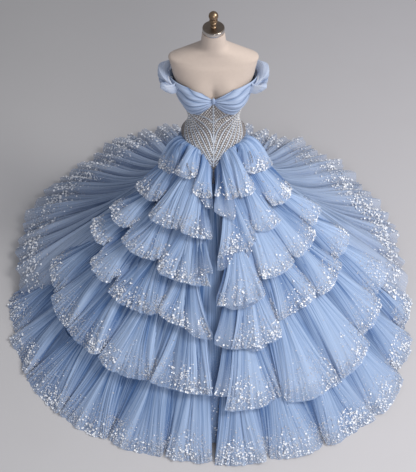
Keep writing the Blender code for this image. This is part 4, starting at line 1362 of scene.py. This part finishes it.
# %% A bead tail at the point and two strands on the first tier
TAIL_BEADS = 16
STRAND_BEADS = 14
STRAND_LIFT = (0.006, 0.004)
# each strand: the side, then its two ends, as shares across and down the first tier
STRANDS = ((-1.0, (0.456, 0.60), (0.36, 0.92)), (1.0, (0.68, 0.46), (0.69, 0.74)))
tail = underskirt_surface(np.full(TAIL_BEADS, 0.5), np.linspace(0.004, 0.030, TAIL_BEADS))[0]
tail = tail + np.array([0.0, -0.006, 0.006])
strands = [tail + np.array([offset, 0.0, 0.0]) for offset in (-0.004, 0.0, 0.004)]
way = np.linspace(0.0, 1.0, STRAND_BEADS)
for side, start, end in STRANDS:
    across, down = (start[k] + way * (end[k] - start[k]) for k in (0, 1))
    on_tier = tier_surface(TIERS[0], side, across, down, 0, 0.0)[0]
    turn = np.degrees(np.arctan2(on_tier[:, 0], -on_tier[:, 1]))
    strands.append(on_tier + on_circle(turn, *STRAND_LIFT))
places = np.concatenate(strands)
join_copies("bead_strands", seed, places, places * (1.0, 1.0, 0.0) + (0.0, 0.0, 0.1),
            0.0022 + 0.0010 * rng.random(len(places)), dark_bead, low_tone=0.5)

# %% The loop between the cups
low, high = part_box("bust_knot")
middle, half = 0.5 * (low + high), 0.5 * (high - low)
shape = bmesh.new()
bmesh.ops.create_uvsphere(shape, u_segments=64, v_segments=32, radius=1.0)
for vertex in shape.verts:
    x, y, z = vertex.co
    gather = 1.0 + 0.07 * math.sin(9.0 * math.atan2(y, x)) * (1.0 - z * z)
    waist = 0.80 + 0.20 * z * z
    vertex.co.x = middle.x + half.x * gather * math.copysign(abs(x) ** 0.8, x) * waist
    vertex.co.y = middle.y + half.y * gather * math.copysign(abs(y) ** 0.8, y)
    vertex.co.z = middle.z + half.z * math.copysign(abs(z) ** 0.85, z)
mesh = as_mesh("bust_loop", shape, FINISHES["chiffon"])
mesh.uv_layers.new(name="cut")
# The loop's groove and crease are set to middling values, so the chiffon paints it with some shade all over.
set_values(mesh, "groove", np.full(len(mesh.vertices), 0.3))
set_values(mesh, "crease", np.full(len(mesh.vertices), 0.2))
add_piece("bust_loop", mesh, "bust_knot")
print("loop, half sizes:", [round(size, 4) for size in half])

# %% [markdown]
# ## Sequins
# The hems carry three kinds of sequin: white flowers of five petals in loose clusters low on each flute,
# duller petals in grey, beige and blue all along the hems, and tiny round ones between. They are sewn on
# the net by one point, so each tilts its own way and only some catch the light.

# %% Small shapes of sequins
def petals(number, waist, cup):
    """Draws every second rim point of a disc inwards and lifts the rim."""
    flower = bmesh.new()
    bmesh.ops.create_circle(flower, cap_ends=True, cap_tris=True, segments=number * 2, radius=1.0)
    rim = [vertex for vertex in flower.verts if vertex.co.length > 0.5]
    for place, vertex in enumerate(sorted(rim, key=lambda v: math.atan2(v.co.y, v.co.x))):
        reach = waist if place % 2 else 1.0
        vertex.co = vertex.co * reach
        vertex.co.z = cup * reach
    return as_arrays(flower)


FLOWER = petals(5, 0.62, 0.20)
PETAL = petals(3, 0.50, 0.15)
DOT = small_shape(bmesh.ops.create_circle, cap_ends=True, segments=5, radius=1.0)
print("flower triangles:", len(FLOWER[1]), "petal:", len(PETAL[1]), "dot:", len(DOT[1]))

# %% Where the sequins lie on the tiers
# how many to a metre of hem on each lobe; the lowest tier has its own
UNDER_SEQUINS = 90
FLOWERS = 210
LOW_FLOWERS = 330
SMALL_SEQUINS = 1250
LOW_SMALL_SEQUINS = 1500
TWO_CLUSTERS_FROM = 0.13
flowers, train_flowers, dulls, dots = [], [], [], []


def fanned_in(part, down):
    """Keeps sequins out of the creases, which are wider higher up."""
    return 0.5 + (part - 0.5) * (0.62 + 0.36 * ease(down, 0.60, 0.95))


def sprinkle_lobe(tier, side, number):
    """Adds one lobe's sequins, on both plies, to the lists."""
    folds = tier_folds(tier, side)
    pitch = folds[number + 1] - folds[number]
    wide = math.radians(pitch) * tier["hem_radius"]
    lowest = tier is TIERS[-1]

    def at(part):
        across = np.clip((folds[number] + part * pitch - folds[0]) / (folds[-1] - folds[0]), 0.001, 0.999)
        return across if side > 0.0 else 1.0 - across

    ply = tier_ply(tier, side, 1)
    few = int(UNDER_SEQUINS * wide)
    flowers.append((ply, at(rng.uniform(0.0, 1.0, few)), rng.uniform(0.86, 0.99, few)))
    dulls.append((ply, at(rng.uniform(0.0, 1.0, 4 * few)), rng.uniform(0.80, 0.995, 4 * few)))
    ply = tier_ply(tier, side, 0)
    clusters = 2 if wide > TWO_CLUSTERS_FROM else 1
    bright = int((LOW_FLOWERS if lowest else FLOWERS) * wide * rng.uniform(0.5, 1.5))
    middle = rng.uniform(0.26, 0.74, clusters)
    cluster = rng.integers(0, clusters, bright)
    part = middle[cluster] + rng.normal(0.0, 0.100, bright)
    low = rng.uniform(0.05, 0.16, clusters)[cluster]
    down = 1.0 - np.abs(low + rng.normal(0.0, 0.085, bright))
    flowers.append((ply, at(part), np.clip(down, 0.35, 0.985)))
    many = int((LOW_SMALL_SEQUINS if lowest else SMALL_SEQUINS) * wide)
    part = rng.uniform(0.0, 1.0, many)
    patchy = 0.14 + 0.09 * wander(6.0 * part, number + 3.0 * TIERS.index(tier) + side)
    down = 1.0 - np.abs(rng.normal(0.0, 1.0, many)) * patchy - 0.01
    dulls.append((ply, at(fanned_in(part, down)), np.clip(down, 0.30, 0.99)))
    part = rng.uniform(0.0, 1.0, many)
    down = 1.0 - np.abs(rng.normal(0.0, 0.14, many)) - 0.008
    dots.append((ply, at(fanned_in(part, down)), np.clip(down, 0.35, 0.995)))


for tier in TIERS:
    for word, side in SIDES:
        for number in range(len(tier_rows(tier, side))):
            sprinkle_lobe(tier, side, number)
print("lobes with sequins:", len(dots))

# %% Where the sequins lie on the train and in the slit
GORE_CLUSTERS = 60
GORE_FLOWERS = 1000
GORE_PETALS = 2600
GORE_DOTS = 1800
SLIT_PETALS = 150
SLIT_FLOWERS = 30
for word, side in SIDES:
    for gore in TRAIN_GORES:
        ply = gore_ply(side, gore)
        clusters = rng.uniform(0.01, 0.99, GORE_CLUSTERS)
        across = rng.choice(clusters, GORE_FLOWERS) + rng.normal(0.0, 0.012, GORE_FLOWERS)
        down = np.clip(rng.normal(0.905, 0.036, GORE_FLOWERS), 0.80, 0.985)
        train_flowers.append((ply, np.clip(across, 0.002, 0.998), down))
        for found, number, spread, low, high in ((dulls, GORE_PETALS, 0.042, 0.76, 0.99),
                                                 (dots, GORE_DOTS, 0.05, 0.74, 0.995)):
            across = rng.uniform(0.002, 0.998, number)
            found.append((ply, across, np.clip(rng.normal(0.90, spread, number), low, high)))
across = 0.5 + rng.uniform(-0.045, 0.045, SLIT_PETALS)
dulls.append((underskirt_surface, across, 1.0 - np.abs(rng.normal(0.05, 0.10, SLIT_PETALS))))
across = 0.5 + rng.uniform(-0.04, 0.04, SLIT_FLOWERS)
flowers.append((underskirt_surface, across, rng.uniform(0.78, 0.97, SLIT_FLOWERS)))
print("gores with sequins:", len(train_flowers))

# %% Sewing them on
STEP_ACROSS = 0.006
STEP_DOWN = 0.04


def cloth_normals(surface, across, down):
    """The way the cloth faces, without its fine pleats."""
    right, left, above, below = (surface(*place, 0.0)[0] for place in (
        (np.minimum(across + STEP_ACROSS, 1.0), down), (np.maximum(across - STEP_ACROSS, 0.0), down),
        (across, np.maximum(down - STEP_DOWN, 0.0)), (across, np.minimum(down + STEP_DOWN, 1.0))))
    return unit(np.cross(right - left, above - below))


def sew_on(name, shape, surfaces, smallest, largest, tilt, material, off=0.0022):
    """surfaces is a list of (surface, across, down). Every sequin is tilted at random."""
    places, facing = [], []
    for surface, across, down in surfaces:
        normal = cloth_normals(surface, across, down)
        places.append(surface(across, down)[0] + normal * off)
        facing.append(normal)
    places, facing = np.concatenate(places), np.concatenate(facing)
    facing = np.where(facing[:, 2:3] < -0.2, -facing, facing)
    count = len(places)
    facing = unit(facing + np.array([0.0, 0.0, 0.25]) + tilt * rng.normal(size=(count, 3)))
    sizes = smallest + (largest - smallest) * rng.random(count) ** 2
    return join_copies(name, shape, places, facing, sizes, material, smooth=False)


def sequin_finish(name, stops, roughness, metallic):
    finish = Finish(name, {"Roughness": roughness, "Metallic": metallic, "Coat Weight": 0.5,
                           "Coat Roughness": 0.1, "Specular IOR Level": 0.6})
    colour = finish.by_tone(stops)
    pearly = finish.noise(finish.place(), 160.0, 1.0)
    finish.shade("Base Color", finish.mix((pearly * 0.25).held(), colour, (0.70, 0.78, 0.95)))
    return finish.material


white = sequin_finish("white_sequin", [(0.0, (0.84, 0.88, 0.95)), (1.0, (0.98, 0.98, 1.0))], 0.25, 0.0)
dull = sequin_finish("dull_sequin", [(0.0, (0.44, 0.46, 0.51)), (0.35, (0.56, 0.52, 0.51)),
                                     (0.65, (0.44, 0.54, 0.70)), (1.0, (0.74, 0.78, 0.86))], 0.45, 0.05)
sew_on("white_flowers", FLOWER, flowers, 0.0032, 0.0068, 0.36, white, 0.0045)
sew_on("train_flowers", FLOWER, train_flowers, 0.0040, 0.0085, 0.36, white, 0.0055)
sew_on("dull_petals", PETAL, dulls, 0.0022, 0.0052, 0.45, dull)
sew_on("tiny_sequins", DOT, dots, 0.0014, 0.0026, 0.40, dull)

# %% [markdown]
# ## The dress form and its cap
# The form is stretched linen over a padded body. Its shape is the table's own surface, drawn with many
# more rows than the solid has, with a slight cleft between the cups and square shoulder ends. The cap is
# a turned bronze plate on a chrome band, and the finial is turned brass. A turned piece is a profile
# spun round the axis.

# %% The linen form
FORM_COLUMNS = 128
FINE_ROWS_FROM = 1.33


def linen():
    finish = Finish("linen", {"Roughness": 0.88, "Sheen Weight": 0.15, "Specular IOR Level": 0.2})
    place = finish.place()
    warp = finish.bands("Z", place, 260.0, 1.2, 1.0)
    weft = finish.bands("X", place, 260.0, 1.2, 1.0)
    slub = finish.noise(place, 70.0, 3.0)
    cloudy = finish.noise(place, 7.0)
    worn = (slub * 0.4 + cloudy * 0.5 - 0.1).held()
    finish.shade("Base Color", finish.mix(worn, (0.60, 0.505, 0.445), (0.52, 0.43, 0.375)))
    finish.bump(warp * 0.4 + weft * 0.4 + slub * 0.4, 0.30, 0.0008)
    return finish.material


levels = np.concatenate([np.arange(FORM_BOTTOM_Z, FINE_ROWS_FROM, 0.010),
                         np.linspace(FINE_ROWS_FROM, NECK_TOP_Z, 64)])
rows = len(levels) - 1
body = bmesh.new()
bmesh.ops.create_grid(body, x_segments=FORM_COLUMNS, y_segments=rows, size=0.5)
flat = np.array([vertex.co for vertex in body.verts])
angle = 360.0 * (flat[:, 0] + 0.5)
height = levels[np.round((flat[:, 1] + 0.5) * rows).astype(int)]
away = away_from_front(angle)
cleft = np.exp(-(away / 9.0) ** 2 - ((height - 1.272) / 0.034) ** 2)
swell = np.exp(-((away - 30.0) / 15.0) ** 2 - ((height - 1.322) / 0.030) ** 2)
shoulder = np.exp(-((away - 90.0) / 26.0) ** 2)
corner = np.exp(-((height - 1.409) / 0.011) ** 2) - 0.5 * np.exp(-((height - 1.352) / 0.024) ** 2)
radius = form_radius(angle, height) - 0.012 * cleft + 0.004 * swell + 0.007 * shoulder * corner
for vertex, place in zip(body.verts, on_circle(angle, radius, height)):
    vertex.co = place
bmesh.ops.remove_doubles(body, verts=body.verts, dist=0.00001)
ends = [edge for edge in body.edges if edge.is_boundary]
bmesh.ops.holes_fill(body, edges=ends, sides=0)
bmesh.ops.recalc_face_normals(body, faces=body.faces)
mesh = as_mesh("linen_form", body, linen())
mesh.set_sharp_from_angle(angle=math.radians(50.0))
add_piece("linen_form", mesh, "form_torso")
print("form faces:", len(mesh.polygons))

# %% Turned metal
TURNED_STEPS = 72


def metal(name, colour, dark, roughness, turning):
    finish = Finish(name, {"Metallic": 1.0, "Roughness": roughness})
    place = finish.place()
    rings = finish.bands("Z", place, turning, 0.6)
    smudges = finish.noise(place, 45.0, 3.0)
    finish.shade("Base Color", finish.mix((smudges * 0.9 - 0.15).held(), colour, dark))
    finish.shade("Roughness", smudges * 0.25 + (roughness - 0.08))
    finish.bump(rings, 0.08, 0.0004)
    return finish.material


def turned(name, profile, material, node):
    """profile is (radius, height) from top to bottom; the first and last lie on the axis."""
    outline = bmesh.new()
    points = [outline.verts.new((radius, 0.0, height)) for radius, height in profile]
    edges = [outline.edges.new(pair) for pair in zip(points, points[1:])]
    bmesh.ops.spin(outline, geom=points + edges, cent=(0.0, 0.0, 0.0), axis=(0.0, 0.0, 1.0),
                   angle=2.0 * math.pi, steps=TURNED_STEPS, use_merge=True, use_duplicate=False)
    bmesh.ops.remove_doubles(outline, verts=outline.verts, dist=0.00002)
    bmesh.ops.recalc_face_normals(outline, faces=outline.faces)
    mesh = as_mesh(name, outline, material)
    mesh.set_sharp_from_angle(angle=math.radians(38.0))
    return add_piece(name, mesh, node)


def arc(radius, middle, start, end, steps, squash=1.0):
    """Profile points on part of a ball, with angles from its top."""
    turns = [math.radians(start + (end - start) * step / steps) for step in range(steps + 1)]
    return [(radius * math.sin(turn), middle + squash * radius * math.cos(turn)) for turn in turns]


print("turning tools ready")

# %% The finial
BALL_RADIUS = 0.0205
SMALL_BALL_RADIUS = 0.0140
# radius, and height above the finial's foot
COLLAR = ((0.0150, 0.0358), (0.0176, 0.0345), (0.0180, 0.0330), (0.0176, 0.0315), (0.0140, 0.0300),
          (0.0108, 0.0282))
FLARE = ((0.0092, 0.0072), (0.0096, 0.0060), (0.0124, 0.0044), (0.0135, 0.0024), (0.0135, 0.0), (0.0, 0.0))
foot = CAP_TOP_Z + SEAM_GAP
profile = [(0.0, FINIAL_TOP_Z)] + arc(BALL_RADIUS, FINIAL_TOP_Z - BALL_RADIUS, 8, 140, 22)
profile += [(radius, foot + rise) for radius, rise in COLLAR]
profile += arc(SMALL_BALL_RADIUS, foot + 0.0175, 45, 142, 16, 0.75)
profile += [(radius, foot + rise) for radius, rise in FLARE]
brass = metal("turned_brass", (0.38, 0.27, 0.18), (0.13, 0.085, 0.05), 0.33, 90.0)
turned("turned_finial", profile, brass, "finial")
print("finial's profile points:", len(profile))

# %% The cap's plate and band, and the stand
PLATE_WALL = 0.0035
EDGE_ROUND = ((0.0012, 0.0), (0.0004, 0.0004), (0.0, 0.0012))
plate_bottom = CAP_TOP_Z - PLATE_WALL
profile = [(0.0, CAP_TOP_Z), (0.030, CAP_TOP_Z)]
profile += [(CAP_RADIUS - inset, CAP_TOP_Z - fall) for inset, fall in (
    (0.0040, 0.0001), (0.0028, 0.0004), (0.0021, 0.0012), (0.0020, PLATE_WALL))]
profile += [(0.0, plate_bottom)]
bronze = metal("aged_bronze", (0.27, 0.22, 0.18), (0.13, 0.10, 0.08), 0.34, 60.0)
turned("cap_plate", profile, bronze, "neck_plate")
band_top, band_bottom = plate_bottom - SEAM_GAP, NECK_TOP_Z + SEAM_GAP
profile = [(0.0, band_top)]
profile += [(CAP_RADIUS - inset, band_top - fall) for inset, fall in EDGE_ROUND]
profile += [(CAP_RADIUS - inset, band_bottom + rise) for inset, rise in reversed(EDGE_ROUND)]
profile += [(0.0, band_bottom)]
# The band's colour is tinted warm, as painted reflection of its warm surroundings.
chrome = metal("chrome_band", (0.70, 0.65, 0.61), (0.34, 0.30, 0.27), 0.16, 200.0)
turned("cap_band", profile, chrome, "neck_band")
stand_metal = metal("stand_metal", (0.11, 0.11, 0.11), (0.06, 0.06, 0.06), 0.42, 40.0)
for node in ("pole", "stand_base"):
    solid = frame["nodes"][node]
    solid.data.materials.clear()
    solid.data.materials.append(stand_metal)
print("metal pieces made")

# %% [markdown]
# ## Floor, light and camera
# The gown stands in a grey studio. Its floor is painted paler to the right and towards the front, as painted
# light. A large soft lamp high on the right gives the bright side, one in front lights the bodice, and a weak
# one on the left and the pale surroundings fill the shade. The camera stands high in front and looks down
# at the whole round of the skirt.

# %% The stage
FLOOR_HALF = 14.0


def studio_floor():
    finish = Finish("studio_floor", {"Roughness": 0.9, "Specular IOR Level": 0.1})
    place = finish.place()
    across = finish.node("ShaderNodeSeparateXYZ", {}, {"Vector": place}, 0)
    # shift paints the floor paler to the right, as painted light from the lamp on that side.
    shift = (across * 0.25 + 0.5).held()
    away = finish.node("ShaderNodeSeparateXYZ", {}, {"Vector": place}, 1)
    grain = finish.noise(place, 3.0)
    colour = finish.mix(shift, (0.500, 0.490, 0.492), (0.565, 0.55, 0.575))
    # This paints the floor paler towards the front and the left, as painted light.
    painted_front_light = (0.08 - away * 0.08 - across * 0.05).held(0.0, 0.30)
    colour = finish.mix(painted_front_light, colour, (0.80, 0.79, 0.82))
    finish.shade("Base Color", finish.mix(((grain - 0.5) * 0.2).held(), colour, (0.42, 0.40, 0.40)))
    return finish.material


shape = bmesh.new()
bmesh.ops.create_grid(shape, x_segments=8, y_segments=8, size=FLOOR_HALF)
floor = bpy.data.objects.new("studio_floor", as_mesh("studio_floor", shape, studio_floor(), smooth=False))
bpy.context.scene.collection.objects.link(floor)
floor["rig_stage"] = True
print("floor made")

# %% Lamps
WARM = (1.0, 0.985, 0.965)
COOL = (0.95, 0.97, 1.0)


def lamp(name, place, aim, size, watts, colour):
    data = bpy.data.lights.new(name, "AREA")
    data.shape = "DISK"
    data.size = size
    data.energy = watts
    data.color = colour
    thing = bpy.data.objects.new(name, data)
    thing.location = place
    x, y, z = np.array(aim) - np.array(place)
    thing.rotation_euler = (math.atan2(math.hypot(x, y), -z), 0.0, math.atan2(y, x) - math.pi / 2.0)
    bpy.context.scene.collection.objects.link(thing)


lamp("key", (3.3, -1.3, 4.6), (0.1, -0.1, 0.6), 2.2, 210.0, WARM)
lamp("front", (0.9, -4.2, 3.2), (0.0, 0.0, 1.0), 1.8, 52.0, WARM)
lamp("fill", (-3.8, -3.0, 3.2), (0.0, 0.0, 0.5), 3.0, 3.0, COOL)
world = bpy.data.worlds.new("studio")
world.use_nodes = True
world.node_tree.nodes["Background"].inputs["Color"].default_value = (0.90, 0.93, 1.0, 1.0)
world.node_tree.nodes["Background"].inputs["Strength"].default_value = 0.34
bpy.context.scene.world = world
print("lamps:", len(bpy.data.lights))

# %% Camera
SENSOR = 36.0
VIEW_HEIGHT = 472.0
FOCAL_LENGTH = 942.0
LEFT_SHIFT = 5.5
LOOK_DOWN = 50.5
camera_data = bpy.data.cameras.new("view")
camera_data.sensor_width = SENSOR
camera_data.lens = SENSOR * FOCAL_LENGTH / VIEW_HEIGHT
camera_data.shift_x = -LEFT_SHIFT / VIEW_HEIGHT
camera = bpy.data.objects.new("view", camera_data)
camera.location = (0.0, -3.2, 4.06)
camera.rotation_euler = (math.radians(90.0 - LOOK_DOWN), 0.0, 0.0)
bpy.context.scene.collection.objects.link(camera)
bpy.context.scene.camera = camera
bpy.context.scene.view_settings.view_transform = "Standard"
print("lens:", round(camera_data.lens, 2))

# %% Sizes, and the end
total = 0
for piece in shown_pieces():
    if piece.type == "MESH" and "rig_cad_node" not in piece:
        total += sum(len(face.vertices) - 2 for face in piece.data.polygons)
print("triangles added:", total)
